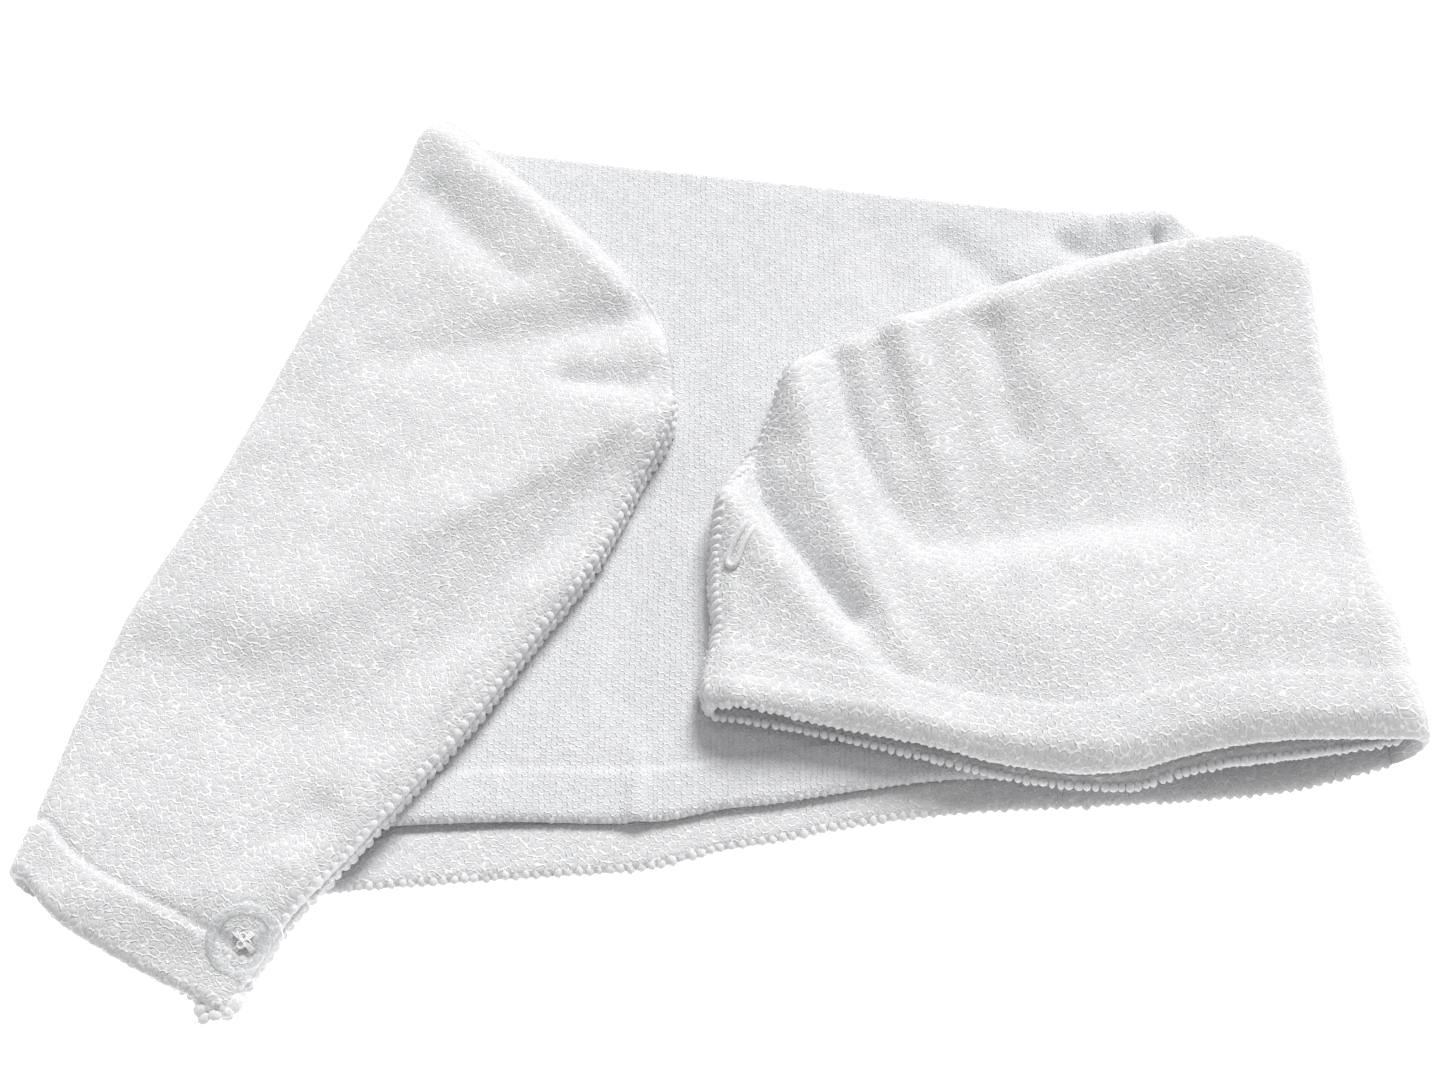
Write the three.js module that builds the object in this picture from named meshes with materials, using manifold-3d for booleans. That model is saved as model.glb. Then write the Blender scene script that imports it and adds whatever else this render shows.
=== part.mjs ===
// A hair turban towel, laid down with both of its ends folded over its front.
// Two panels of terry share a soft fold at the top, an open hem at the front, and a seam at each end.
// Millimetres, +Z up, +X from the wide end to the tail, +Y from the hem to the top fold.
// The origin is the middle of the towel's outline, on the surface that it lies on.
import * as THREE from 'three';
import Module from 'manifold-3d';
import { mergeVertices } from 'three/addons/utils/BufferGeometryUtils.js';

// Driving dimensions of the folded towel
const foldedWidth = 372;      // across both folded ends
const foldedDepth = 285;      // from the front corner to the back corner
const clothThickness = 2.2;
const layerGap = 0.7;         // air between layers that lie on each other
const pieceGap = 0.3;         // air between pieces that are sewn together
const seamGap = 0.5;          // air between the panels' curved ends and their seam
const hemBand = 16;           // from the hem's edge to its row of stitches
const topWrap = 7;            // how far the back panel comes over the top fold
const mouthLift = 6;          // how far the open hem gapes beside the tail's fold
const foldRelief = 5;         // the height of the tallest soft folds
const dropStart = 1;          // how far past the body's hem the wide end starts to fall
const dropRun = 26;           // how far past the body's hem the wide end lies on the surface
const seamWidth = 2.6;

// Driving dimensions of the fastening
const buttonDiameter = 20;
const buttonThickness = 3.3;
const buttonRim = 3;
const buttonDish = 1.2;       // how deep the middle lies below the rim
const holeDiameter = 2.6;
const holeSpacing = 4.8;
const threadDiameter = 1.2;
const threadShank = 1.6;      // how far the thread holds the button off the cloth
const cordDiameter = 2;
const loopLength = 17;
const loopSpread = 2.7;       // between the middles of the loop's two legs
const loopLift = 1.2;         // air under the loop where the cloth below it curves

// The hem's edge, from the tail to the wide end. Columns: x as a share of the folded width,
// then y of the back panel and y of the front panel as shares of the folded depth.
const hemLine = {
  tail: [
    [-0.008, -0.204, -0.204],
    [0.054, -0.218, -0.218],
    [0.145, -0.242, -0.246],
    [0.194, -0.260, -0.263],
    [0.250, -0.274, -0.277],
    [0.285, -0.270, -0.277],
    [0.320, -0.256, -0.263],
    [0.355, -0.246, -0.253],
    [0.398, -0.240, -0.246],
    [0.441, -0.239, -0.239],
    [0.476, -0.239, -0.232],
  ],
  body: [
    [0.476, -0.239, -0.232],
    [0.409, -0.263, -0.246],
    [0.339, -0.274, -0.256],
    [0.253, -0.281, -0.263],
    [0.167, -0.288, -0.263],
    [0.089, -0.302, -0.277],
    [0.040, -0.316, -0.288],
    [-0.003, -0.326, -0.293],
    [-0.056, -0.344, -0.309],
    [-0.156, -0.354, -0.309],
    [-0.258, -0.365, -0.316],
    [-0.328, -0.375, -0.330],
    [-0.417, -0.379, -0.347],
    [-0.476, -0.372, -0.358],
  ],
  wide: [
    [-0.476, -0.372, -0.358],
    [-0.454, -0.407, -0.396],
    [-0.419, -0.435, -0.428],
    [-0.382, -0.460, -0.453],
    [-0.360, -0.474, -0.470],
    [-0.339, -0.488, -0.488],
  ],
};

// The line where the top fold begins to turn, from the tail to the wide end.
// Columns: x as a share of the folded width, y as a share of the folded depth.
const topLine = {
  tail: [
    [0.048, 0.158],
    [0.067, 0.188],
    [0.097, 0.205],
    [0.137, 0.226],
    [0.215, 0.268],
    [0.296, 0.300],
    [0.358, 0.325],
    [0.406, 0.328],
    [0.431, 0.318],
  ],
  body: [
    [0.431, 0.318],
    [0.398, 0.337],
    [0.366, 0.365],
    [0.344, 0.381],
    [0.301, 0.381],
    [0.220, 0.391],
    [0.062, 0.419],
    [-0.099, 0.447],
    [-0.188, 0.465],
    [-0.219, 0.481],
  ],
  wide: [
    [-0.219, 0.481],
    [-0.204, 0.465],
    [-0.180, 0.430],
    [-0.134, 0.372],
    [-0.086, 0.302],
    [-0.050, 0.232],
    [-0.039, 0.147],
  ],
};

// The two ends, from the hem to the top fold, with the columns of the top line.
const endLine = {
  tail: [
    [-0.008, -0.204],
    [-0.013, -0.175],
    [-0.005, -0.123],
    [-0.007, -0.060],
    [0.000, 0.014],
    [0.019, 0.056],
    [0.040, 0.105],
    [0.048, 0.158],
  ],
  wide: [
    [-0.339, -0.488],
    [-0.301, -0.411],
    [-0.269, -0.361],
    [-0.183, -0.218],
    [-0.137, -0.126],
    [-0.094, -0.042],
    [-0.060, 0.056],
    [-0.040, 0.109],
    [-0.039, 0.147],
  ],
};

// Soft folds, each a ridge between two points. A fold lifts its own layer and those above it.
// Columns: the lowest layer lifted (1 front panel on the body, 2 front panel on a folded end,
// 3 back panel on a folded end), the two points as x and y shares of the folded width and depth,
// the half width as a share of the folded width, and the height as a share of foldRelief.
const softFolds = [
  // Wrinkles of the body: gathers at the back by the tail, and a pucker in the front panel's hem
  [1, 0.332, 0.374, 0.356, 0.379, 0.026, 0.50],
  [1, 0.287, 0.344, 0.300, 0.374, 0.026, 0.36],
  [1, 0.183, 0.310, 0.215, 0.358, 0.026, 0.24],
  [1, -0.065, -0.295, -0.056, -0.253, 0.019, 0.30],
  // The tail: the crest over the mouth, the roll inside its top fold, and its pleats
  [3, 0.438, 0.218, 0.376, 0.014, 0.032, 0.60],
  [3, 0.371, 0.007, 0.242, -0.046, 0.035, 0.70],
  [3, 0.065, 0.168, 0.210, 0.246, 0.024, 0.32],
  [3, 0.226, 0.256, 0.403, 0.305, 0.024, 0.32],
  [3, 0.070, 0.133, 0.074, 0.035, 0.030, 0.84],
  [3, 0.078, 0.021, 0.126, -0.077, 0.030, 0.84],
  [3, 0.016, 0.014, 0.050, -0.056, 0.026, 0.50],
  [3, 0.056, -0.070, 0.104, -0.175, 0.026, 0.50],
  [3, 0.140, 0.189, 0.188, 0.028, 0.032, 0.80],
  [3, 0.247, 0.232, 0.237, 0.077, 0.027, 0.50],
  [3, 0.081, -0.161, 0.188, -0.182, 0.038, 0.40],
  // The wide end: the ridge beside its seam, the roll inside its top fold, and its long creases
  [3, -0.073, 0.095, -0.153, -0.084, 0.024, 0.44],
  [3, -0.161, -0.102, -0.280, -0.333, 0.024, 0.44],
  [3, -0.056, 0.204, -0.134, 0.351, 0.024, 0.44],
  [3, -0.145, 0.365, -0.210, 0.456, 0.024, 0.44],
  [3, -0.274, 0.337, -0.129, 0.274, 0.038, 0.50],
  [3, -0.301, 0.147, -0.177, 0.175, 0.038, 0.40],
  [3, -0.124, 0.133, -0.344, -0.098, 0.032, 0.64],
  [3, -0.204, -0.084, -0.398, -0.295, 0.043, 0.52],
];

// The gaping mouth, a flat-topped lift of every layer above the back panel, with the same
// columns without the height, which is mouthLift, then the share of it that is flat on top.
const mouthFold = [1, 0.300, -0.172, 0.489, -0.172, 0.136, 0.25];

// Where the fastening lies, as x and y shares, and the way the loop points
const buttonPlace = [-0.325, -0.424];
const loopRoot = [0.003, -0.053];
const loopHeading = Math.PI / 3;

// How finely the cloth is divided
const steps = { tail: 14, body: 20, wide: 10, turn: 6, panel: 13, hem: 2, roll: 4 };

const layerPitch = clothThickness + layerGap;

const terry = (name, colour) => new THREE.MeshStandardMaterial({
  name, color: colour, roughness: 0.95, metalness: 0,
});
const panelTerry = terry('white_terry', 0xe9eaec);
const hemTerry = terry('white_hem_terry', 0xe4e5e8);
const seamThread = terry('white_thread', 0xdfe0e2);
const clearPlastic = new THREE.MeshStandardMaterial({
  name: 'clear_plastic', color: 0xdfe6ea, roughness: 0.12, metalness: 0, transparent: true, opacity: 0.5,
});

// Plan geometry, in millimetres from the shares of the tables
function planPoint([x, y]) {
  return new THREE.Vector2(x * foldedWidth, y * foldedDepth);
}

function planCurve(rows) {
  return new THREE.SplineCurve(rows.map(planPoint));
}

// A patch of the plan between its hem, its top line and its two side lines.
function planPatch(hem, top, first, last) {
  const corner = [hem.getPointAt(0), hem.getPointAt(1), top.getPointAt(0), top.getPointAt(1)];
  return (along, across) => {
    const h = hem.getPointAt(along);
    const t = top.getPointAt(along);
    const f = first.getPointAt(across);
    const l = last.getPointAt(across);
    const blend = (axis) => (1 - across) * h[axis] + across * t[axis]
      + (1 - along) * f[axis] + along * l[axis]
      - (1 - along) * (1 - across) * corner[0][axis] - along * (1 - across) * corner[1][axis]
      - (1 - along) * across * corner[2][axis] - along * across * corner[3][axis];
    return new THREE.Vector2(blend('x'), blend('y'));
  };
}

// The two lines that the ends are folded along, from the back panel's hem to the top line
const foldLine = {
  tail: new THREE.LineCurve(planPoint(hemLine.body[0]), planPoint(topLine.body[0])),
  wide: new THREE.LineCurve(planPoint(hemLine.body.at(-1)), planPoint(topLine.body.at(-1))),
};

function onFold({ v1, v2 }, y) {
  return v1.clone().lerp(v2, (y - v1.y) / (v2.y - v1.y));
}

// One panel's three patches. The column is 1 for the back panel's hem and 2 for the front panel's.
function panelPlan(column) {
  const hem = {};
  for (const zone of ['tail', 'body', 'wide']) {
    hem[zone] = hemLine[zone].map((row) => planPoint([row[0], row[column]]));
  }
  const tailEnd = onFold(foldLine.tail, hem.body[0].y);
  const wideEnd = onFold(foldLine.wide, hem.body.at(-1).y);
  const tailFold = new THREE.LineCurve(tailEnd, foldLine.tail.v2);
  const wideFold = new THREE.LineCurve(wideEnd, foldLine.wide.v2);
  const tailHem = new THREE.SplineCurve([...hem.tail.slice(0, -1), tailEnd]);
  const bodyHem = new THREE.SplineCurve([tailEnd, ...hem.body.slice(1, -1), wideEnd]);
  const wideHem = new THREE.SplineCurve([wideEnd, ...hem.wide.slice(1)]);
  return {
    tail: planPatch(tailHem, planCurve(topLine.tail), planCurve(endLine.tail), tailFold),
    body: planPatch(bodyHem, planCurve(topLine.body), tailFold, wideFold),
    wide: planPatch(wideHem, planCurve(topLine.wide), wideFold, planCurve(endLine.wide)),
  };
}

const backPanel = { plan: panelPlan(1), depth: 0 };
const frontPanel = { plan: panelPlan(2), depth: 1 };

// The way out of the towel at each fold, square to the fold's line
function squareTo({ v1, v2 }, side) {
  const along = v2.clone().sub(v1).normalize();
  return new THREE.Vector2(side * along.y, -side * along.x);
}
const outward = { tail: squareTo(foldLine.tail, 1), wide: squareTo(foldLine.wide, -1) };

// How much of a soft fold's height a point of the plan has
function ridgeShare([, x0, y0, x1, y1, halfWidth], flat, point) {
  const from = planPoint([x0, y0]);
  const run = planPoint([x1, y1]).sub(from);
  const share = THREE.MathUtils.clamp(point.clone().sub(from).dot(run) / run.lengthSq(), 0, 1);
  const reach = point.distanceTo(from.addScaledVector(run, share)) / (halfWidth * foldedWidth);
  return 1 - THREE.MathUtils.smoothstep(reach, flat, 1);
}

// How far in front of the body's hem a point lies
const hemPoints = hemLine.body.map(planPoint).reverse();

function pastBodyHem(point) {
  const next = hemPoints.findIndex((edge) => edge.x > point.x);
  if (next < 1) return 0;
  const [a, b] = [hemPoints[next - 1], hemPoints[next]];
  return THREE.MathUtils.mapLinear(point.x, a.x, b.x, a.y, b.y) - point.y;
}

// The middle of a layer: 0 the back panel, 1 the front panel, and on a folded end 2 the front
// panel and 3 the back panel.
function layerHeight(layer, point) {
  let height = clothThickness / 2 + layer * layerPitch;
  if (layer >= mouthFold[0]) height += mouthLift * ridgeShare(mouthFold, mouthFold[6], point);
  for (const row of softFolds) {
    if (layer >= row[0]) height += row[6] * foldRelief * ridgeShare(row, 0, point);
  }
  if (layer >= 2) {
    const fall = THREE.MathUtils.smoothstep(pastBodyHem(point), dropStart, dropRun);
    height -= 2 * layerPitch * fall;
  }
  return height;
}

// The towel's stations from the tail to the wide end. The turn is PI on a folded end and 0 on the body.
function shares(count) {
  return Array.from({ length: count + 1 }, (_, i) => i / count);
}

const turning = shares(steps.turn).slice(1, -1);
const stations = [
  ...shares(steps.tail).map((along) => ({ zone: 'tail', along, turn: Math.PI })),
  ...turning.map((s) => ({ zone: 'tail', along: 1, turn: Math.PI * (1 - s) })),
  ...shares(steps.body).map((along) => ({ zone: 'body', along, turn: 0 })),
  ...turning.map((s) => ({ zone: 'wide', along: 0, turn: Math.PI * s })),
  ...shares(steps.wide).map((along) => ({ zone: 'wide', along, turn: Math.PI })),
];

// A point of a panel's middle surface at a share across it. A roll from 0 to PI carries the back
// panel about the top fold to the front panel's layer, where the front panel lies throughout.
function clothPoint(panel, station, across, roll) {
  const patch = panel.plan[station.zone];
  const point = patch(station.along, across);
  if (roll > 0 && roll < Math.PI) {
    const inside = patch(station.along, across - 0.05);
    const reach = Math.sin(roll) * layerPitch / 2;
    point.addScaledVector(point.clone().sub(inside).normalize(), reach);
  }
  const depth = Math.max(panel.depth, (1 - Math.cos(roll)) / 2);
  const lower = THREE.MathUtils.lerp(layerHeight(0, point), layerHeight(1, point), depth);
  const upper = THREE.MathUtils.lerp(layerHeight(3, point), layerHeight(2, point), depth);
  const height = THREE.MathUtils.lerp(lower, upper, (1 - Math.cos(station.turn)) / 2);
  if (station.turn % Math.PI > 0) {
    const bulge = Math.sin(station.turn) * (upper - lower) / 2;
    point.addScaledVector(outward[station.zone], bulge);
  }
  return new THREE.Vector3(point.x, point.y, height);
}

// Rows of a piece from the hem's edge to the top fold. Each row gives the share across for a
// station whose panel is so deep, and the roll about the top fold.
function hemRows() {
  return shares(steps.hem).map((s) => ({ across: (deep) => s * hemBand / deep, roll: 0 }));
}

function panelRows(stopShort) {
  const start = hemBand + pieceGap;
  return shares(steps.panel).map((s) => ({
    across: (deep) => (start + s * (deep - stopShort - start)) / deep,
    roll: 0,
  }));
}

function topFoldRows() {
  const roll = shares(steps.roll).map((s) => ({ across: () => 1, roll: Math.PI * s }));
  const wrap = { across: (deep) => 1 - topWrap / deep, roll: Math.PI };
  return [...roll, wrap];
}

// A closed solid's geometry, with its faces turned outwards
function indexed(positions, indices) {
  const geometry = new THREE.BufferGeometry();
  geometry.setAttribute('position', new THREE.Float32BufferAttribute(positions, 3));
  geometry.setIndex(indices);
  if (enclosedVolume(geometry) < 0) {
    for (let i = 0; i < indices.length; i += 3) [indices[i], indices[i + 1]] = [indices[i + 1], indices[i]];
    geometry.setIndex(indices);
  }
  geometry.computeVertexNormals();
  return geometry;
}

function enclosedVolume(geometry) {
  const { position } = geometry.attributes;
  const at = (i) => new THREE.Vector3().fromBufferAttribute(position, geometry.index.array[i]);
  let volume = 0;
  for (let i = 0; i < geometry.index.count; i += 3) {
    volume += at(i).dot(at(i + 1).cross(at(i + 2))) / 6;
  }
  return volume;
}

// A sheet of the cloth's thickness about a grid of middle points, each with the step across there.
function sheetSolid(grid) {
  const last = [grid.length - 1, grid[0].length - 1];
  const at = (i, j) => grid[THREE.MathUtils.clamp(i, 0, last[0])][j].point;
  const positions = [];
  for (const side of [0.5, -0.5]) {
    grid.forEach((row, i) => row.forEach(({ point, acrossStep }, j) => {
      const normal = at(i + 1, j).clone().sub(at(i - 1, j)).cross(acrossStep).normalize();
      positions.push(...point.clone().addScaledVector(normal, side * clothThickness).toArray());
    }));
  }
  const columns = last[1] + 1;
  const other = grid.length * columns;
  const indices = [];
  const quad = (a, b, c, d) => indices.push(a, b, c, a, c, d);
  for (let i = 0; i < last[0]; i += 1) {
    for (let j = 0; j < last[1]; j += 1) {
      const a = i * columns + j;
      quad(a, a + columns, a + columns + 1, a + 1);
      quad(other + a, other + a + 1, other + a + columns + 1, other + a + columns);
    }
  }
  for (let i = 0; i < last[0]; i += 1) {
    const a = i * columns;
    const b = a + last[1];
    quad(a, other + a, other + a + columns, a + columns);
    quad(b, b + columns, other + b + columns, other + b);
  }
  for (let j = 0; j < last[1]; j += 1) {
    const b = last[0] * columns + j;
    quad(j, j + 1, other + j + 1, other + j);
    quad(b, other + b, other + b + 1, b + 1);
  }
  return indexed(positions, indices);
}

// One ring of points for each place along the piece, closed with a flat cap at each end.
function ringSolid(rings) {
  const sides = rings[0].length;
  const positions = rings.flat().flatMap((point) => point.toArray());
  const indices = [];
  for (let i = 0; i + 1 < rings.length; i += 1) {
    for (let k = 0; k < sides; k += 1) {
      const a = i * sides + k;
      const b = i * sides + (k + 1) % sides;
      indices.push(a, b, b + sides, a, b + sides, a + sides);
    }
  }
  const end = (rings.length - 1) * sides;
  for (let k = 1; k + 1 < sides; k += 1) indices.push(0, k + 1, k, end, end + k, end + k + 1);
  return indexed(positions, indices);
}

// The step across the cloth at a row, towards the top fold and then round it.
function stepAcross(panel, station, across, roll) {
  const nudge = 0.004;
  const rolling = roll > 0 && roll < Math.PI;
  const place = (side) => (rolling
    ? clothPoint(panel, station, across, roll + side * nudge)
    : clothPoint(panel, station, THREE.MathUtils.clamp(across + side * nudge, 0, 1), roll));
  const step = place(1).sub(place(-1));
  return roll === Math.PI ? step.negate() : step;
}

function clothPiece(name, panel, rows, material) {
  const grid = stations.map((station) => {
    const patch = panel.plan[station.zone];
    const deep = patch(station.along, 1).distanceTo(patch(station.along, 0));
    return rows.map((row) => {
      const across = row.across(deep);
      return {
        point: clothPoint(panel, station, across, row.roll),
        acrossStep: stepAcross(panel, station, across, row.roll),
      };
    });
  });
  const mesh = new THREE.Mesh(sheetSolid(grid), material);
  mesh.name = name;
  return mesh;
}

// The overcast seam that holds the two panels together at one end.
function endSeam(name, zone) {
  const end = planCurve(endLine[zone]);
  const deep = end.getPoint(0).distanceTo(end.getPoint(1));
  const outside = zone === 'tail' ? 1 : -1;
  const sides = 8;
  const rings = [...hemRows(), ...panelRows(topWrap), { across: () => 1 }].map((row) => {
    const edge = end.getPointAt(row.across(deep));
    const tangent = end.getTangentAt(row.across(deep));
    const out = new THREE.Vector2(-outside * tangent.y, outside * tangent.x);
    const middle = edge.clone().addScaledVector(out, seamGap + seamWidth / 2);
    const top = layerHeight(3, edge) + clothThickness / 2;
    const bottom = layerHeight(2, edge) - clothThickness / 2;
    return Array.from({ length: sides }, (_, k) => {
      const angle = (k / sides) * 2 * Math.PI;
      const place = middle.clone().addScaledVector(out, Math.cos(angle) * seamWidth / 2);
      const height = (top + bottom) / 2 + Math.sin(angle) * (top - bottom) / 2;
      return new THREE.Vector3(place.x, place.y, height);
    });
  });
  const mesh = new THREE.Mesh(ringSolid(rings), seamThread);
  mesh.name = name;
  return mesh;
}

// The top face of a folded end at a point, with the way it faces.
function flapTop(point) {
  const step = clothThickness;
  const slope = (axis) => {
    const ahead = point.clone();
    const behind = point.clone();
    ahead[axis] += step;
    behind[axis] -= step;
    return (layerHeight(3, ahead) - layerHeight(3, behind)) / (2 * step);
  };
  const normal = new THREE.Vector3(-slope('x'), -slope('y'), 1).normalize();
  const place = new THREE.Vector3(point.x, point.y, layerHeight(3, point));
  return { normal, place: place.addScaledVector(normal, clothThickness / 2) };
}

// Boolean work on closed solids
const wasm = await Module();
wasm.setup();

function solidOf(geometry) {
  const bare = geometry.clone();
  bare.deleteAttribute('normal');
  bare.deleteAttribute('uv');
  const merged = mergeVertices(bare.toNonIndexed(), 1e-4);
  return new wasm.Manifold(new wasm.Mesh({
    numProp: 3,
    vertProperties: new Float32Array(merged.attributes.position.array),
    triVerts: new Uint32Array(merged.index.array),
  }));
}

function geometryOf(solid) {
  const mesh = solid.getMesh();
  return indexed(Array.from(mesh.vertProperties), Array.from(mesh.triVerts));
}

const holes = [[1, 1], [-1, 1], [-1, -1], [1, -1]].map(([x, y]) => (
  new THREE.Vector2(x, y).multiplyScalar(holeSpacing / 2)
));
const dishFloor = buttonThickness - buttonDish;

function upright(diameter, low, high, at, sides) {
  const cylinder = new THREE.CylinderGeometry(diameter / 2, diameter / 2, high - low, sides);
  cylinder.rotateX(Math.PI / 2);
  cylinder.translate(at.x, at.y, (low + high) / 2);
  return cylinder;
}

// A four-hole button with a rounded rim about a shallow dish.
function makeButton() {
  const radius = buttonDiameter / 2;
  const edge = buttonThickness / 2;
  const profile = [new THREE.Vector2(0, 0)];
  for (const share of shares(4)) {
    const angle = share * Math.PI / 2;
    profile.push(new THREE.Vector2(radius - edge + edge * Math.sin(angle), edge - edge * Math.cos(angle)));
  }
  for (const share of shares(6).slice(1)) {
    const angle = share * Math.PI;
    const middle = radius - buttonRim / 2;
    const low = share > 0.5 ? dishFloor : edge;
    const rise = (buttonThickness - low) * Math.sin(angle);
    profile.push(new THREE.Vector2(middle + buttonRim / 2 * Math.cos(angle), low + rise));
  }
  profile.push(new THREE.Vector2(0, dishFloor));
  const turned = new THREE.LatheGeometry(profile, 40);
  turned.rotateX(Math.PI / 2);
  let solid = solidOf(turned);
  for (const hole of holes) {
    solid = solid.subtract(solidOf(upright(holeDiameter, -buttonThickness, 2 * buttonThickness, hole, 12)));
  }
  const mesh = new THREE.Mesh(geometryOf(solid), clearPlastic);
  mesh.name = 'button';
  return mesh;
}

// The thread: a leg in each hole, crossed strands in the dish and a wound shank under the button.
function makeThread() {
  const strand = dishFloor + pieceGap + threadDiameter / 2;
  const shankTop = -pieceGap;
  const shankBottom = pieceGap - threadShank;
  const shank = upright(2 * holeSpacing, shankBottom, shankTop, new THREE.Vector2(), 16);
  let solid = solidOf(shank);
  for (const hole of holes) {
    solid = solid.add(solidOf(upright(threadDiameter, shankBottom + pieceGap, strand, hole, 8)));
  }
  for (const [a, b] of [[0, 2], [1, 3]]) {
    const run = holes[b].clone().sub(holes[a]);
    const length = run.length() + threadDiameter;
    const bar = new THREE.CylinderGeometry(threadDiameter / 2, threadDiameter / 2, length, 8);
    bar.rotateZ(run.angle() - Math.PI / 2);
    bar.translate(0, 0, strand);
    solid = solid.add(solidOf(bar));
  }
  const mesh = new THREE.Mesh(geometryOf(solid), seamThread);
  mesh.name = 'button_thread';
  return mesh;
}

function makeFastening() {
  const group = new THREE.Group();
  const { place, normal } = flapTop(planPoint(buttonPlace));
  group.add(makeButton(), makeThread());
  group.position.copy(place.addScaledVector(normal, threadShank));
  group.quaternion.setFromUnitVectors(new THREE.Vector3(0, 0, 1), normal);
  return group;
}

// The elastic loop: a doubled cord that lies on the tail beside its seam.
function makeLoop() {
  const heading = new THREE.Vector2(Math.cos(loopHeading), Math.sin(loopHeading));
  const sideways = new THREE.Vector2(heading.y, -heading.x);
  const root = planPoint(loopRoot);
  const leg = shares(5).map((s) => [s * loopLength, 0]);
  const bend = [[loopLength + loopSpread / 2, loopSpread / 2]];
  const back = leg.map(([run]) => [run, loopSpread]).reverse();
  const route = [...leg, ...bend, ...back].map(([run, side]) => {
    const point = root.clone().addScaledVector(heading, run).addScaledVector(sideways, side);
    const { place, normal } = flapTop(point);
    return place.addScaledVector(normal, loopLift + cordDiameter / 2);
  });
  const section = new THREE.Shape();
  section.absarc(0, 0, cordDiameter / 2, 0, 2 * Math.PI);
  const geometry = new THREE.ExtrudeGeometry(section, {
    steps: 28, curveSegments: 8, extrudePath: new THREE.CatmullRomCurve3(route),
  });
  const mesh = new THREE.Mesh(geometry, seamThread);
  mesh.name = 'button_loop';
  return mesh;
}

// The whole towel
const towel = new THREE.Group();
towel.add(clothPiece('back_panel', backPanel, [...panelRows(topWrap), ...topFoldRows()], panelTerry));
towel.add(clothPiece('front_panel', frontPanel, panelRows(topWrap + pieceGap), panelTerry));
towel.add(clothPiece('back_hem', backPanel, hemRows(), hemTerry));
towel.add(clothPiece('front_hem', frontPanel, hemRows(), hemTerry));
towel.add(endSeam('tail_seam', 'tail'));
towel.add(endSeam('wide_seam', 'wide'));
towel.add(makeFastening());
towel.add(makeLoop());

// The origin goes to the middle of the outline, at the height of the underside.
const box = new THREE.Box3().setFromObject(towel, true);
const middle = box.getCenter(new THREE.Vector3());
towel.position.set(-middle.x, -middle.y, -box.min.z);

const part = new THREE.Group();
part.add(towel);
export default part;
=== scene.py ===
"""A white terry hair turban towel, laid down with both ends folded over its front."""
import math
import bpy
import numpy as np
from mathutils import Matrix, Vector


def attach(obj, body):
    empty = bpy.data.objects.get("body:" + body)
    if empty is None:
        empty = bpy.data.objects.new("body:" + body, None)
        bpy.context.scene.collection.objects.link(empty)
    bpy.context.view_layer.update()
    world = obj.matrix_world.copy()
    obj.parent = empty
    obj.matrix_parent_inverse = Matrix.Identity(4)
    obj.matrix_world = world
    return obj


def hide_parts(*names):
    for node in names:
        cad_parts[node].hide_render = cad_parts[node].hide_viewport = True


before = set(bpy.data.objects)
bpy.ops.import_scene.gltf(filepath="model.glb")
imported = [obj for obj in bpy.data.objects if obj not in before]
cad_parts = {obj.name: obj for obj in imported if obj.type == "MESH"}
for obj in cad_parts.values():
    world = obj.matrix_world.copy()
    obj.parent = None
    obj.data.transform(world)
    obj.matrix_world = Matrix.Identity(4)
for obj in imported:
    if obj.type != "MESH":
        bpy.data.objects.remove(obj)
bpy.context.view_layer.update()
bpy.ops.object.select_all(action="DESELECT")
scene = bpy.context.scene


# The view. The towel lies on a table and is seen from in front and well above, 60 degrees up,
# by a long lens, so its front and back edges keep almost the same scale.
look_at = Vector((-0.00155, 0.0, 0.0))
elevation = math.radians(60)
distance = 0.780
camera_data = bpy.data.cameras.new("view")
camera_data.lens = 70
camera_data.sensor_width = 36
camera_data.clip_start = 0.01
camera = bpy.data.objects.new("view", camera_data)
camera.location = look_at + distance * Vector((0, -math.cos(elevation), math.sin(elevation)))
camera.rotation_euler = (math.pi / 2 - elevation, 0, 0)
scene.collection.objects.link(camera)
scene.camera = camera


# The back panel where it lies on the table, its looped face down. It is knitted terry, cut in
# one piece with both folded ends. The shape of the whole towel is set out here, in millimetres:
# shares of the folded width and depth as in the model, then every layer's height.
folded = np.array([372.0, 285.0])
middle = np.array([-1.55, 0.01, 0.0])
cloth_thick = 2.2
pitch = 2.9
hem_deep = 16.0
mouth_lift = 6.0
# About how long and how deep each zone is, and the flaps' and the inner layers' grid spacing
zone_long = {"tail": 165.0, "body": 352.0, "wide": 105.0}
zone_deep = {"tail": 128.0, "body": 190.0, "wide": 225.0}
flap_step = 0.66
inner_step = 1.6

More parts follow.
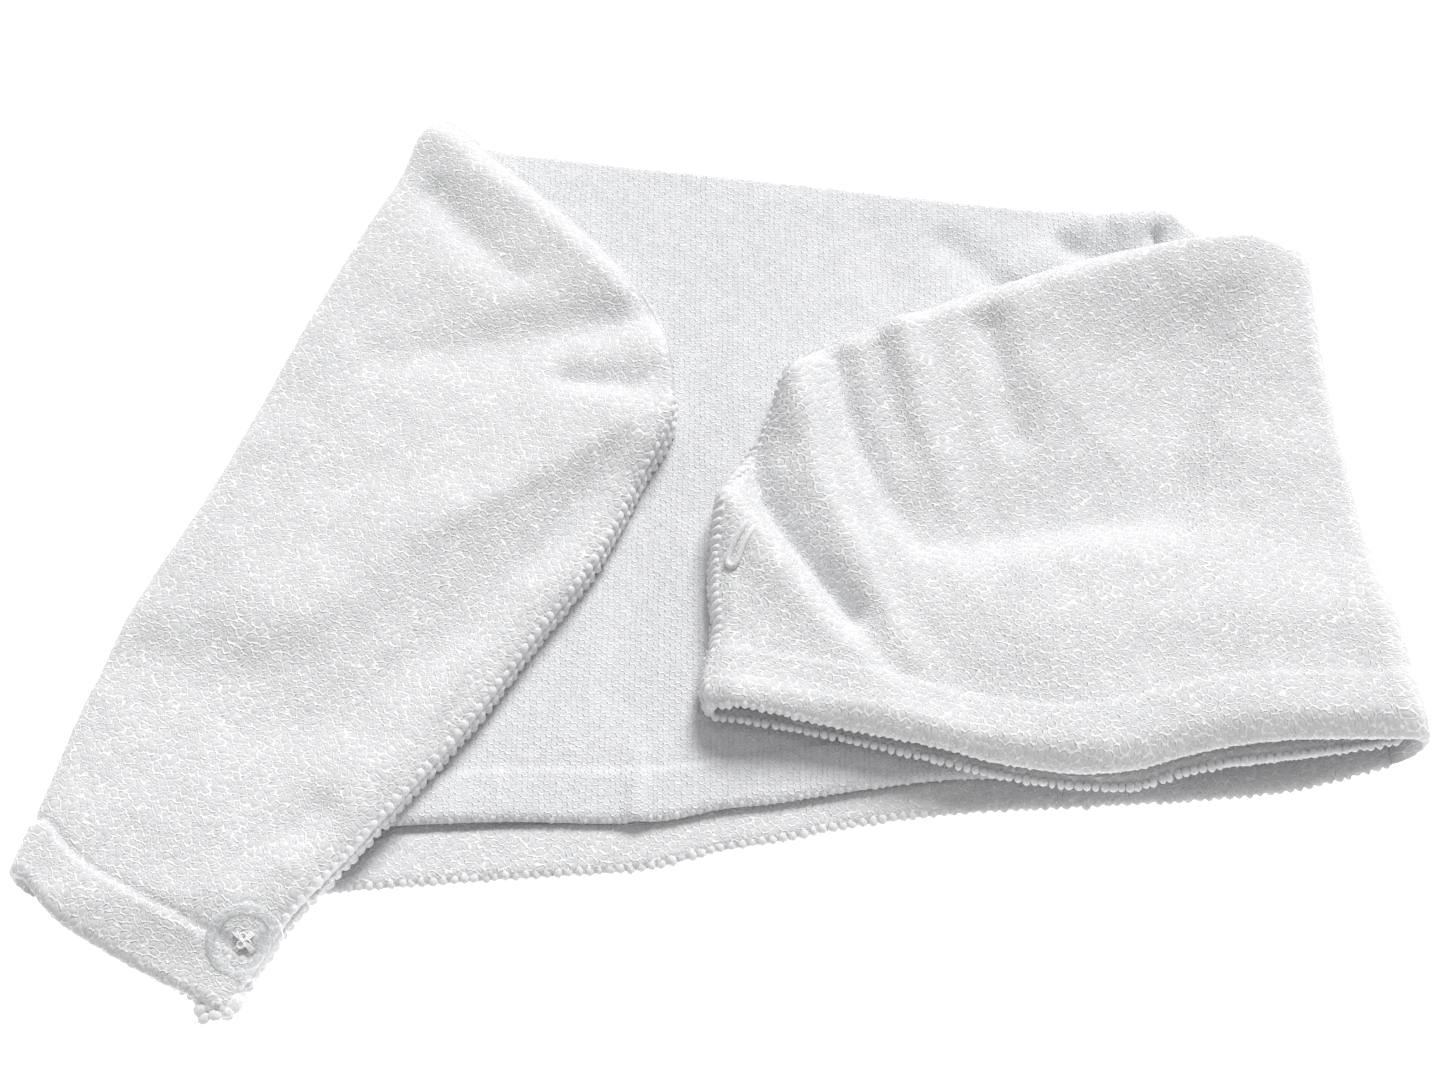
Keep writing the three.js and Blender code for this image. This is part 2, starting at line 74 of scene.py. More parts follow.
hem_line = {
    "tail": [
        (-0.008, -0.204, -0.204), (0.054, -0.218, -0.218), (0.145, -0.242, -0.246),
        (0.194, -0.260, -0.263), (0.250, -0.274, -0.277), (0.285, -0.270, -0.277),
        (0.320, -0.256, -0.263), (0.355, -0.246, -0.253), (0.398, -0.240, -0.246),
        (0.441, -0.239, -0.239), (0.476, -0.239, -0.232),
    ],
    "body": [
        (0.476, -0.239, -0.232), (0.409, -0.263, -0.246), (0.339, -0.274, -0.256),
        (0.253, -0.281, -0.260), (0.167, -0.288, -0.259), (0.089, -0.302, -0.272),
        (0.040, -0.316, -0.283), (-0.003, -0.326, -0.290), (-0.056, -0.344, -0.303),
        (-0.156, -0.354, -0.302), (-0.258, -0.365, -0.309), (-0.328, -0.375, -0.325),
        (-0.417, -0.379, -0.347), (-0.476, -0.372, -0.358),
    ],
    "wide": [
        (-0.476, -0.372, -0.358), (-0.454, -0.407, -0.396), (-0.419, -0.435, -0.428),
        (-0.382, -0.460, -0.453), (-0.360, -0.474, -0.470), (-0.339, -0.488, -0.488),
    ],
}
top_line = {
    "tail": [
        (0.046, 0.158), (0.067, 0.188), (0.097, 0.205), (0.137, 0.226), (0.215, 0.268),
        (0.296, 0.300), (0.358, 0.325), (0.406, 0.328), (0.431, 0.318),
    ],
    "body": [
        (0.431, 0.318), (0.398, 0.337), (0.366, 0.365), (0.344, 0.381), (0.301, 0.381),
        (0.220, 0.391), (0.062, 0.419), (-0.099, 0.447), (-0.188, 0.465), (-0.219, 0.481),
    ],
    "wide": [
        (-0.219, 0.481), (-0.204, 0.465), (-0.180, 0.430), (-0.134, 0.372),
        (-0.086, 0.302), (-0.050, 0.232), (-0.039, 0.147),
    ],
}
end_line = {
    "tail": [
        (-0.008, -0.204), (-0.013, -0.175), (-0.005, -0.123), (-0.007, -0.060),
        (-0.002, 0.014), (0.012, 0.056), (0.033, 0.105), (0.046, 0.158),
    ],
    "wide": [
        (-0.339, -0.488), (-0.301, -0.411), (-0.269, -0.361), (-0.183, -0.218),
        (-0.137, -0.126), (-0.094, -0.042), (-0.060, 0.056), (-0.040, 0.109), (-0.039, 0.147),
    ],
}

# Soft folds: the lowest layer lifted (1 front panel, 2 and 3 a folded end's lower and upper
# layer), the line of the fold in the plan, its width to the left and right of the line, and its
# height at the line's start and end. A height below 0 is a dent.
folds = [
    # the body: its loft, its wrinkles by the tail, the knot there and the pucker in its hem
    (1, [(20, 60), (20, -30)], 60, 60, 1.6, 1.6), (1, [(66, 99), (82, 84)], 8, 8, -2.2, -1.6),
    (1, [(86, 88), (97, 98), (106, 107)], 7, 7, 2.4, 2.8), (1, [(100, 98), (118, 93)], 6, 6, -2.6, -2.0),
    (1, [(119, 106), (132, 108)], 7, 7, 3.2, 3.2), (1, [(127, 102), (128, 97)], 3, 3, -2.4, -2.4),
    (1, [(46, 104), (52, 70)], 12, 12, -1.0, -0.6), (1, [(-22, -66), (-22, -88)], 4, 4, 0.6, 1.8),
    (1, [(8, 40), (0, -30)], 14, 14, 0.8, 0.8), (1, [(-20, 20), (-26, -50)], 10, 10, -0.7, -0.7),
    # the tail: its lifted hem, and the roll inside its top fold
    (2, [(-2, -60), (40, -67), (96, -77)], 17, 15, 2.8, 3.2),
    (3, [(26, 50), (43, 60), (76, 72), (109, 83), (150, 88)], 6, 34, 1.4, 8.8),
    # its dent, and the crest that holds it on the side of the fold and above the hem
    (3, [(60, -26), (75, -18), (92, -13), (124, -10), (134, 6), (139, 28), (149, 58)], 11, 26, 0.8, 2.2),
    (3, [(72, -4), (94, 0), (116, 2), (126, 14), (131, 34), (138, 54)], 38, 15, -5.4, -3.6),
    (3, [(75, 60), (78, 45), (82, 28)], 9, 9, -4.0, -2.0),
    # its pleats, from its seam towards the middle
    (3, [(3, 24), (-2, 8), (-5, -8)], 4, 4, 0.8, 1.6),
    (3, [(12, 44), (9, 27), (9, 11), (15, -3), (24, -17), (34, -31)], 7, 6, -6.4, -4.2),
    (3, [(19, 46), (23, 28), (26, 11), (33, -6), (42, -27), (49, -44)], 6, 8, 3.6, 1.6),
    (3, [(32, 50), (35, 32), (42, 12), (53, -8)], 7, 7, -4.6, -1.8),
    (3, [(50, 60), (54, 39), (61, 12), (66, 0)], 9, 7, 4.0, 1.4),
    (3, [(1, 2), (14, -14), (27, -34), (42, -53)], 6, 13, 4.0, 1.6),
    # its hem, which gapes at the seam
    (3, [(5, -60), (24, -63)], 8, 8, 4.2, 1.0),
    # the wide end: the soft rim inside its top fold, and the dents below it
    (3, [(-84, 130), (-72, 121), (-49, 100), (-28, 76), (-18, 54)], 12, 12, 2.4, 2.4),
    (3, [(-84, 110), (-74, 97), (-60, 82)], 8, 8, -2.9, -2.0),
    (3, [(-22, 68), (-46, 63), (-69, 57), (-96, 53)], 13, 11, -5.0, -1.6),
    (3, [(-44, 45), (-27, 42)], 8, 6, -2.6, -2.6), (3, [(-100, 90), (-150, -30)], 34, 34, 1.4, 1.4),
    # its long crease, high on the side away from its seam, then the ridge beside the seam
    (3, [(-25, 30), (-45, 16), (-66, 3), (-90, -14), (-115, -30)], 16, 32, 4.0, 2.6),
    (3, [(-25, 30), (-45, 16), (-66, 3), (-90, -14)], 5, 14, 1.6, 0.6),
    (3, [(-30, 12), (-60, -22), (-98, -60)], 11, 11, -2.0, -1.6),
    (3, [(-150, -50), (-116, -60)], 20, 20, -1.8, -1.8), (3, [(-108, -92), (-104, -88)], 9, 9, -1.6, -1.6),
    (3, [(-23, 24), (-34, 2), (-48, -20), (-63, -41), (-79, -63), (-95, -85), (-108, -103)], 6, 7, 1.8, 1.4),
]
mouth = ([(111.6, -49.0), (181.9, -49.0)], 50.6)


def smoothstep(value, low, high):
    share = np.clip((value - low) / (high - low), 0, 1)
    return share * share * (3 - 2 * share)


def smooth_line(rows):
    """Points of a smooth line through the rows, by their share of its length."""
    p = np.array(rows, float) * folded
    p = np.vstack([p[:1], p, p[-1:]])
    t = np.linspace(0, 1, 60, endpoint=False)[:, None]
    runs = []
    for a, b, c, d in zip(p[:-3], p[1:-2], p[2:-1], p[3:]):
        v, w = (c - a) / 2, (d - b) / 2
        runs.append((2 * b - 2 * c + v + w) * t**3 + (3 * c - 3 * b - 2 * v - w) * t**2 + v * t + b)
    line = np.vstack([*runs, p[-1:]])
    run = np.concatenate([[0], np.cumsum(np.linalg.norm(np.diff(line, axis=0), axis=1))])
    return lambda share: np.stack([np.interp(share * run[-1], run, line[:, k]) for k in (0, 1)], -1)


def straight_line(a, b):
    return lambda share: a + (b - a) * np.asarray(share)[..., None]


def patch(hem, top, first, last):
    """The plan between a hem, a top line and two side lines."""
    corners = [hem(0.0), hem(1.0), top(0.0), top(1.0)]

    def place(along, across):
        u, v = along[..., None], across[..., None]
        point = (1 - v) * hem(along) + v * top(along) + (1 - u) * first(across) + u * last(across)
        point = point - (1 - u) * (1 - v) * corners[0] - u * (1 - v) * corners[1]
        return point - (1 - u) * v * corners[2] - u * v * corners[3]

    return place


fold_ends = {}
for zone, row in (("tail", 0), ("wide", -1)):
    fold_ends[zone] = [np.array(hem_line["body"][row][:2]), np.array(top_line["body"][row])]


def panel_plan(column):
    """One panel's three patches: column 1 is the back panel and 2 the front panel."""
    hem = {}
    for zone, rows in hem_line.items():
        hem[zone] = [[row[0], row[column]] for row in rows]
    turn_at = {}
    for zone, row in (("tail", 0), ("wide", -1)):
        a, b = fold_ends[zone]
        y = hem["body"][row][1]
        turn_at[zone] = a + (b - a) * (y - a[1]) / (b[1] - a[1])
        hem["body"][row] = turn_at[zone]
    hem["tail"][-1] = turn_at["tail"]
    hem["wide"][0] = turn_at["wide"]
    side = {z: straight_line(turn_at[z] * folded, fold_ends[z][1] * folded) for z in turn_at}
    hem_curve = {z: smooth_line(rows) for z, rows in hem.items()}
    top_curve = {z: smooth_line(rows) for z, rows in top_line.items()}
    ends = {z: smooth_line(rows) for z, rows in end_line.items()}
    return {
        "tail": patch(hem_curve["tail"], top_curve["tail"], ends["tail"], side["tail"]),
        "body": patch(hem_curve["body"], top_curve["body"], side["tail"], side["wide"]),
        "wide": patch(hem_curve["wide"], top_curve["wide"], side["wide"], ends["wide"]),
    }


plans = {"back": panel_plan(1), "front": panel_plan(2)}
outward = {}
for zone, sign in (("tail", 1), ("wide", -1)):
    run = (fold_ends[zone][1] - fold_ends[zone][0]) * folded
    run /= np.linalg.norm(run)
    outward[zone] = sign * np.array([run[1], -run[0]])


def fold_shape(point, line, left, right, first, last):
    """The height that one soft fold gives to each point of the plan."""
    line = smooth_line(np.array(line) / folded)(np.linspace(0, 1, 5 * len(line) - 4))
    nearest = np.full(point.shape[:-1], np.inf)
    height = np.zeros(point.shape[:-1])
    for k, (start, end) in enumerate(zip(line[:-1], line[1:])):
        run = end - start
        share = np.clip((point - start) @ run / (run @ run), 0, 1)
        away = point - start - share[..., None] * run
        gap = np.linalg.norm(away, axis=-1)
        side = (run[0] * away[..., 1] - run[1] * away[..., 0]) / np.hypot(*run) / np.maximum(gap, 1e-6)
        width = (left + right) / 2 + side * (left - right) / 2
        lift = first + (last - first) * (k + share) / (len(line) - 1)
        height = np.where(gap < nearest, lift * np.exp(-2.0 * (gap / width) ** 2), height)
        nearest = np.minimum(gap, nearest)
    return height


hem_xy = (np.array([row[:2] for row in hem_line["body"]]) * folded)[::-1]


def layer_heights(point):
    """The middles of the layers: 0 back panel, 1 front panel, 2 and 3 those of a folded end."""
    heights = [np.full(point.shape[:-1], cloth_thick / 2)]
    (start, end), reach = mouth
    share = np.clip((point[..., 0] - start[0]) / (end[0] - start[0]), 0, 1)
    away = np.hypot(point[..., 0] - start[0] - share * (end[0] - start[0]), point[..., 1] - start[1])
    for layer in (1, 2, 3):
        height = heights[-1] + pitch
        if layer == 1:
            height = height + mouth_lift * (1 - smoothstep(away / reach, 0.25, 1))
        for low, *fold in folds:
            if low == layer:
                height = height + fold_shape(point, *fold)
        if layer == 2:
            past = np.interp(point[..., 0], hem_xy[:, 0], hem_xy[:, 1]) - point[..., 1]
            past = np.where(point[..., 0] < hem_xy[0, 0], 0, past)
            height = height - 2 * pitch * smoothstep(past, 1, 27)
        heights.append(height)
    return heights


def at_least(height, least, soft=0.7):
    """A height that settles gently on the layer below it and never goes through it."""
    over = (height - least) / soft
    return least + soft * np.logaddexp(0, over)


def ripple(point, size, seed):
    """Gentle irregular waves of about the given size, between -1 and 1."""
    total = 0
    for k in range(5):
        angle = seed * 2.39996 + k * 1.3
        way = np.array([math.cos(angle), math.sin(angle)]) * 2 * math.pi / (size * (0.8 + 0.17 * k))
        total = total + np.sin(point @ way + seed * 1.7 + k * k)
    return total / 5


def cloth_strip(zone, along, turn, panel, across, roll):
    """Middle points of the cloth, its own flat coordinates and its distances from the hem, for
    one zone and one run across."""
    along, across = np.broadcast_arrays(along[:, None], across[None, :])
    turn, roll = np.broadcast_arrays(turn[:, None], roll[None, :])
    plan = plans[panel][zone]
    flat = plan(along, across)
    top = plan(along, np.ones_like(across))
    inside = plan(along, np.full_like(across, 0.95))
    beyond = top - inside
    beyond = beyond / np.linalg.norm(beyond, axis=-1, keepdims=True)
    point = flat + beyond * (np.sin(roll) * pitch / 2)[..., None]
    depth = np.maximum(1.0 if panel == "front" else 0.0, (1 - np.cos(roll)) / 2)
    h = layer_heights(point)
    lower = h[0] + (h[1] - h[0]) * depth
    upper = h[3] + (h[2] - h[3]) * depth
    folded_over = (1 - np.cos(turn)) / 2
    height = lower + (upper - lower) * folded_over
    if zone != "body":
        point = point + outward[zone] * (np.sin(turn) * (upper - lower) / 2)[..., None]
    if zone != "tail":
        # The wide end's fold bows outwards, most of all near the hem
        foot, head = (place * folded for place in fold_ends["wide"])
        long = np.linalg.norm(head - foot)
        up = (flat - foot) @ (head - foot) / long**2
        within = (flat - foot) @ outward["wide"]
        bow = 7.0 * np.exp(-((up - 0.25) / 0.18) ** 2) + 3.2 * np.exp(-((up - 0.65) / 0.25) ** 2)
        point = point + outward["wide"] * (bow * np.exp(-((within / 35) ** 2)))[..., None]
    # The loft of the upper layer, which is held down along its edges
    deep = np.linalg.norm(top - plan(along, np.zeros_like(across)), axis=-1)
    from_hem = across * deep
    from_top = (1 - across) * deep
    if zone == "body":
        from_side = np.full_like(deep, 99.0)
    else:
        wide = np.linalg.norm(plan(np.ones_like(along), across) - plan(0 * along, across), axis=-1)
        free = along if zone == "tail" else 1 - along
        from_side = np.minimum(free * wide, 6 + (1 - free) * wide)
    if zone == "tail":
        held = np.minimum(np.minimum(from_hem * 1.2 + 2, from_top + 2), from_side + 4)
        deepest = 5.4 + 0.6 * smoothstep(from_hem, 24, 70)
    else:
        held = np.minimum(np.minimum(from_hem * 2 + 5, from_top + 2), from_side * 1.5 + 5)
        deepest = 3.8
    loft = smoothstep(held, -2, 10)
    flat_over = folded_over * (1 - depth)
    lofted = height + loft * (deepest + 0.8 * ripple(flat, 34, 2) + 0.3 * ripple(flat, 13, 5))
    lofted = at_least(lofted, h[2] + 2.0)
    height = height + flat_over * (lofted - height)
    on_front = (1 - folded_over) * depth
    height = height + on_front * loft * (0.3 + 0.35 * ripple(flat, 40, 7) + 0.12 * ripple(flat, 14, 3))
    # The cloth opened out flat, for its knit
    shown = np.pi - roll if panel == "front" or roll.any() else 0 * roll
    opened = flat + beyond * (shown * pitch / 2)[..., None]
    if zone != "body":
        foot = fold_ends[zone][0] * folded
        inset = -np.maximum(0, -(flat - foot) @ outward[zone])
        reach = -2 * inset * folded_over + turn * 1.5 * pitch
        opened = opened + outward[zone] * reach[..., None]
    xyz = np.concatenate([point, height[..., None]], axis=-1)
    return xyz, opened, from_hem


def cloth_grid(lengthways, crossways):
    """A grid of the cloth from runs of stations and runs across, joined end to end."""
    parts = [[cloth_strip(*run, *band) for band in crossways] for run in lengthways]
    joined = []
    for k in range(3):
        joined.append(np.concatenate([np.concatenate([b[k] for b in r], axis=1) for r in parts], axis=0))
    return joined


def make_mesh(name, points, faces_by_size, attributes):
    """A mesh in metres in the model's frame, from millimetres in the plan's."""
    mesh = bpy.data.meshes.new(name)
    mesh.vertices.add(len(points))
    mesh.vertices.foreach_set("co", ((points + middle) / 1000).astype(np.float32).ravel())
    corners = np.concatenate([f.ravel() for f in faces_by_size])
    totals = np.concatenate([np.full(len(f), f.shape[1]) for f in faces_by_size])
    mesh.loops.add(len(corners))
    mesh.loops.foreach_set("vertex_index", corners.astype(np.int32))
    mesh.polygons.add(len(totals))
    starts = np.concatenate([[0], np.cumsum(totals)[:-1]])
    mesh.polygons.foreach_set("loop_start", starts.astype(np.int32))
    mesh.polygons.foreach_set("use_smooth", np.ones(len(totals), bool))
    for key, values in attributes.items():
        kind = "FLOAT" if values.ndim == 1 else "FLOAT_VECTOR"
        field = "value" if values.ndim == 1 else "vector"
        data = mesh.attributes.new(key, kind, "POINT").data
        data.foreach_set(field, values.astype(np.float32).ravel())
    mesh.update(calc_edges=True)
    mesh.validate()
    piece = bpy.data.objects.new(name, mesh)
    scene.collection.objects.link(piece)
    return piece


def border(fine, coarse, forward):
    """Triangles between a finely and a coarsely divided edge of the same wall."""
    step = (len(fine) - 1) // (len(coarse) - 1)
    k = np.arange(len(fine) - 1)
    near = coarse[(k + step // 2) // step]
    a, b = (fine[:-1], fine[1:]) if forward else (fine[1:], fine[:-1])
    fans = np.stack([a, b, near], axis=1)
    mids = fine[np.arange(len(coarse) - 1) * step + (step - step // 2)]
    c, d = (coarse[1:], coarse[:-1]) if forward else (coarse[:-1], coarse[1:])
    return np.vstack([fans, np.stack([mids, c, d], axis=1)])


def cloth_sheet(name, grid, coarse_step, thick, shape, pile, free):
    """A closed sheet: its first face as fine as the grid, its other face coarser.

    shape is a rise of the fine face in millimetres, pile the share of the loops' height, and
    free tells which of the borders (first and last station, first and last row) are rounded."""
    xyz, opened = grid[:2]
    rows, columns = xyz.shape[:2]
    normal = np.cross(np.gradient(xyz, axis=0), np.gradient(xyz, axis=1))
    normal /= np.maximum(np.linalg.norm(normal, axis=-1, keepdims=True), 1e-9)
    half = np.full((rows, columns), thick / 2)
    for k, is_free in enumerate(free):
        if not is_free:
            continue
        axis = k // 2
        line = xyz if k % 2 == 0 else np.flip(xyz, axis)
        steps = np.linalg.norm(np.diff(line, axis=axis), axis=-1)
        run = np.cumsum(steps, axis=axis)
        run = np.insert(run, 0, 0, axis=axis)
        run = run if k % 2 == 0 else np.flip(run, axis)
        away = np.clip(1 - run / (thick * 0.55), 0, 1)
        half = half * np.maximum(0.25, np.sqrt(1 - away**2))
    outer = xyz + normal * (half + shape)[..., None]
    ii = np.arange(0, rows, coarse_step)
    jj = np.arange(0, columns, coarse_step)
    inner = (xyz - normal * half[..., None])[np.ix_(ii, jj)]
    count = rows * columns
    fine = np.arange(count).reshape(rows, columns)
    far = count + np.arange(inner.shape[0] * inner.shape[1]).reshape(inner.shape[:2])
    quads = []
    for g, turned in ((fine, False), (far, True)):
        q = np.stack([g[:-1, :-1], g[1:, :-1], g[1:, 1:], g[:-1, 1:]], axis=-1).reshape(-1, 4)
        quads.append(q[:, ::-1] if turned else q)
    walls = [
        border(fine[:, 0], far[:, 0], False), border(fine[:, -1], far[:, -1], True),
        border(fine[0], far[0], True), border(fine[-1], far[-1], False),
    ]
    points = np.vstack([outer.reshape(-1, 3), inner.reshape(-1, 3)])
    lies = np.vstack([opened.reshape(-1, 2), opened[np.ix_(ii, jj)].reshape(-1, 2)])
    lies = np.hstack([lies, np.zeros((len(lies), 1))])
    fluff = np.concatenate([np.broadcast_to(pile, (rows, columns)).ravel(), np.zeros(far.size)])
    return make_mesh(name, points, [np.vstack(quads), np.vstack(walls)], {"cloth": lies, "pile": fluff})


def spread(low, high, step, multiple=4):
    """Even shares from low to high whose number of steps is a multiple of the coarse face's."""
    count = max(multiple, int(math.ceil((high - low) / step / multiple)) * multiple)
    return np.linspace(low, high, count + 1)


def add_node(tree, kind, inputs=None, **settings):
    """A node with its settings, and its inputs as values or as sockets to join."""
    node = tree.nodes.new(kind)
    for key, value in settings.items():
        setattr(node, key, value)
    for key, value in (inputs or {}).items():
        if isinstance(value, bpy.types.NodeSocket):
            tree.links.new(value, node.inputs[key])
        else:
            node.inputs[key].default_value = value
    return node


def math_node(tree, operation, *values):
    return add_node(tree, "ShaderNodeMath", dict(enumerate(values)), operation=operation).outputs[0]


def vector_node(tree, operation, inputs):
    return add_node(tree, "ShaderNodeVectorMath", inputs, operation=operation).outputs[0]


def map_node(tree, value, low, high, to_low=0.0, to_high=1.0):
    inputs = {"Value": value, "From Min": low, "From Max": high, "To Min": to_low, "To Max": to_high}
    node = add_node(tree, "ShaderNodeMapRange", inputs, interpolation_type="SMOOTHSTEP")
    return node.outputs["Result"]


def knit_loops(tree, cloth, width, length, sway):
    """Nodes for the pile's loops in their staggered rows, from places on the cloth in mm.

    They give how far out from a loop's middle a place is, 1 at its edge, and a number that
    differs from loop to loop."""
    bent = cloth
    for scale, amount in ((0.12, 8.8), (0.42, 4.4)):
        flow = {"Vector": cloth, "Scale": scale, "Detail": 0}
        noise = add_node(tree, "ShaderNodeTexNoise", flow, noise_dimensions="2D").outputs["Color"]
        centred = vector_node(tree, "SUBTRACT", {0: noise, 1: (0.5, 0.5, 0.5)})
        sized = {0: centred, "Scale": math_node(tree, "MULTIPLY", sway, amount)}
        bent = vector_node(tree, "ADD", {0: bent, 1: vector_node(tree, "SCALE", sized)})
    parts = add_node(tree, "ShaderNodeSeparateXYZ", {0: bent})
    column = math_node(tree, "DIVIDE", parts.outputs["X"], width)
    wale = math_node(tree, "FLOOR", column)
    stagger = math_node(tree, "MULTIPLY", math_node(tree, "FLOORED_MODULO", wale, 2.0), 0.5)
    row = math_node(tree, "ADD", math_node(tree, "DIVIDE", parts.outputs["Y"], length), stagger)
    course = math_node(tree, "FLOOR", row)
    key = add_node(tree, "ShaderNodeCombineXYZ", {"X": wale, "Y": course})
    chance = add_node(
        tree, "ShaderNodeTexWhiteNoise", {"Vector": key.outputs[0]}, noise_dimensions="2D",
    )
    squareness = 2.6
    sides = []
    for place, cell in ((column, wale), (row, course)):
        inside = math_node(tree, "SUBTRACT", math_node(tree, "SUBTRACT", place, cell), 0.5)
        reach = math_node(tree, "ABSOLUTE", math_node(tree, "MULTIPLY", inside, 2.0))
        sides.append(math_node(tree, "POWER", reach, squareness))
    out = math_node(tree, "POWER", math_node(tree, "ADD", *sides), 1 / squareness)
    return out, chance.outputs["Value"]


def raise_loops(piece, width, length, sway, height):
    """Lifts the pile's loops off the cloth where the piece's pile value says, and applies it."""
    tree = bpy.data.node_groups.new(piece.name + "_loops", "GeometryNodeTree")
    for way in ("INPUT", "OUTPUT"):
        tree.interface.new_socket("Geometry", in_out=way, socket_type="NodeSocketGeometry")
    entry = tree.nodes.new("NodeGroupInput")
    leave = tree.nodes.new("NodeGroupOutput")
    read = "GeometryNodeInputNamedAttribute"
    cloth = add_node(tree, read, {"Name": "cloth"}, data_type="FLOAT_VECTOR")
    pile = add_node(tree, read, {"Name": "pile"}, data_type="FLOAT")
    out, chance = knit_loops(tree, cloth.outputs["Attribute"], width, length, sway)
    tall = height / 1000
    dome = map_node(tree, out, 0.35, 1.12, 0.4 * tall, -0.6 * tall)
    uneven = math_node(tree, "MULTIPLY", chance, 0.45 * tall)
    lift = math_node(tree, "MULTIPLY", math_node(tree, "ADD", dome, uneven), pile.outputs["Attribute"])
    normal = tree.nodes.new("GeometryNodeInputNormal").outputs[0]
    offset = vector_node(tree, "SCALE", {0: normal, "Scale": lift})
    moved = {"Geometry": entry.outputs["Geometry"], "Offset": offset}
    shift = add_node(tree, "GeometryNodeSetPosition", moved)
    tree.links.new(shift.outputs["Geometry"], leave.inputs["Geometry"])
    modifier = piece.modifiers.new("loops", "NODES")
    modifier.node_group = tree
    bpy.ops.object.select_all(action="DESELECT")
    bpy.context.view_layer.objects.active = piece
    piece.select_set(True)
    bpy.ops.object.modifier_apply(modifier=modifier.name)
    piece.select_set(False)


terry_pile = bpy.data.node_groups.new("terry_pile", "ShaderNodeTree")
terry_pile.interface.new_socket("Cloth", in_out="INPUT", socket_type="NodeSocketVector")
for label, default in (("Loop Width", 2.1), ("Loop Length", 2.4), ("Sway", 0.3)):
    socket = terry_pile.interface.new_socket(label, in_out="INPUT", socket_type="NodeSocketFloat")
    socket.default_value = default
for label in ("Rim Highlight", "Gap Shade", "Tone", "Height"):
    terry_pile.interface.new_socket(label, in_out="OUTPUT", socket_type="NodeSocketFloat")
pile_in = terry_pile.nodes.new("NodeGroupInput")
pile_out = terry_pile.nodes.new("NodeGroupOutput")
loop_out, loop_chance = knit_loops(terry_pile, *[
    pile_in.outputs[label] for label in ("Cloth", "Loop Width", "Loop Length", "Sway")
])
rim_half = 0.2
off_rim = math_node(terry_pile, "DIVIDE", math_node(terry_pile, "SUBTRACT", loop_out, 1.0), rim_half)
off_rim = math_node(terry_pile, "MULTIPLY", off_rim, off_rim)
ring = math_node(terry_pile, "EXPONENT", math_node(terry_pile, "MULTIPLY", off_rim, -1.0))
patchy, fibre = [
    add_node(terry_pile, "ShaderNodeTexNoise", {
        "Vector": pile_in.outputs["Cloth"], "Scale": scale, "Detail": detail,
    }).outputs["Fac"]
    for scale, detail in ((0.8, 1), (2.2, 3))
]
# The rim mask: where the raised rims run, which the material gives a painted highlight.
rim = math_node(terry_pile, "MULTIPLY", ring, map_node(terry_pile, patchy, 0.36, 0.54, 0.3, 1.0))
# The gap mask: the narrow gaps between loops, which the material gives a painted shade.
gap = map_node(terry_pile, loop_out, 1.12, 1.28)
dome = map_node(terry_pile, loop_out, 0.3, 0.9, 0.35, 0.0)
raised = math_node(terry_pile, "ADD", dome, math_node(terry_pile, "MULTIPLY", rim, 0.9))
relief = math_node(terry_pile, "ADD", raised, math_node(terry_pile, "MULTIPLY", fibre, 0.4))
for label, value in (("Rim Highlight", rim), ("Gap Shade", gap), ("Tone", loop_chance), ("Height", relief)):
    terry_pile.links.new(value, pile_out.inputs[label])


def paint(name, constants):
    """A new material, its node tree and its shader, with the shader's constants set."""
    material = bpy.data.materials.new(name)
    material.use_nodes = True
    shader = material.node_tree.nodes["Principled BSDF"]
    for key, value in constants.items():
        shader.inputs[key].default_value = value
    return material, material.node_tree, shader


def mix_colours(tree, factor, first, second):
    inputs = {"Factor": factor, "A": first, "B": second}
    return add_node(tree, "ShaderNodeMix", inputs, data_type="RGBA").outputs["Result"]


def add_relief(tree, shader, height, strength, distance, invert=False):
    inputs = {"Height": height, "Strength": strength, "Distance": distance}
    bump = add_node(tree, "ShaderNodeBump", inputs, invert=invert)
    tree.links.new(bump.outputs["Normal"], shader.inputs["Normal"])


def terry(name, loop, inside, rim_highlight, gap_shade, bump):
    """White terry: a net of raised rims with a painted highlight round paler loops, and painted shade in the
    small gaps between them.
    """
    material, tree, shader = paint(name, {
        "Roughness": 0.9, "Specular IOR Level": 0.25, "Sheen Weight": 0.05, "Sheen Roughness": 0.6,
    })
    where = add_node(tree, "ShaderNodeAttribute", attribute_name="cloth")
    pile = add_node(tree, "ShaderNodeGroup", node_tree=terry_pile)
    tree.links.new(where.outputs["Vector"], pile.inputs["Cloth"])
    for label, value in zip(("Loop Width", "Loop Length", "Sway"), loop):
        pile.inputs[label].default_value = value
    # Painted highlight along the rims, over the loops' own colour.
    lit = mix_colours(tree, pile.outputs["Rim Highlight"], (*inside, 1), (*rim_highlight, 1))
    uneven = math_node(tree, "MULTIPLY", pile.outputs["Tone"], 0.16)
    # Painted shade in the gaps between loops, or a random darker tone per loop where that is stronger.
    shade = math_node(tree, "MAXIMUM", pile.outputs["Gap Shade"], uneven)
    colour = mix_colours(tree, shade, lit, (*gap_shade, 1))
    tree.links.new(colour, shader.inputs["Base Color"])
    add_relief(tree, shader, pile.outputs["Height"], bump, 0.0004)
    return material


loop_size = (1.95, 2.3, 0.3)
# The colours: the loops' own, the painted highlight on their rims and the painted shade in their gaps.
looped = terry(
    "looped_terry", loop_size, (0.70, 0.703, 0.715), (0.98, 0.98, 0.985), (0.52, 0.52, 0.53), 0.75,
)


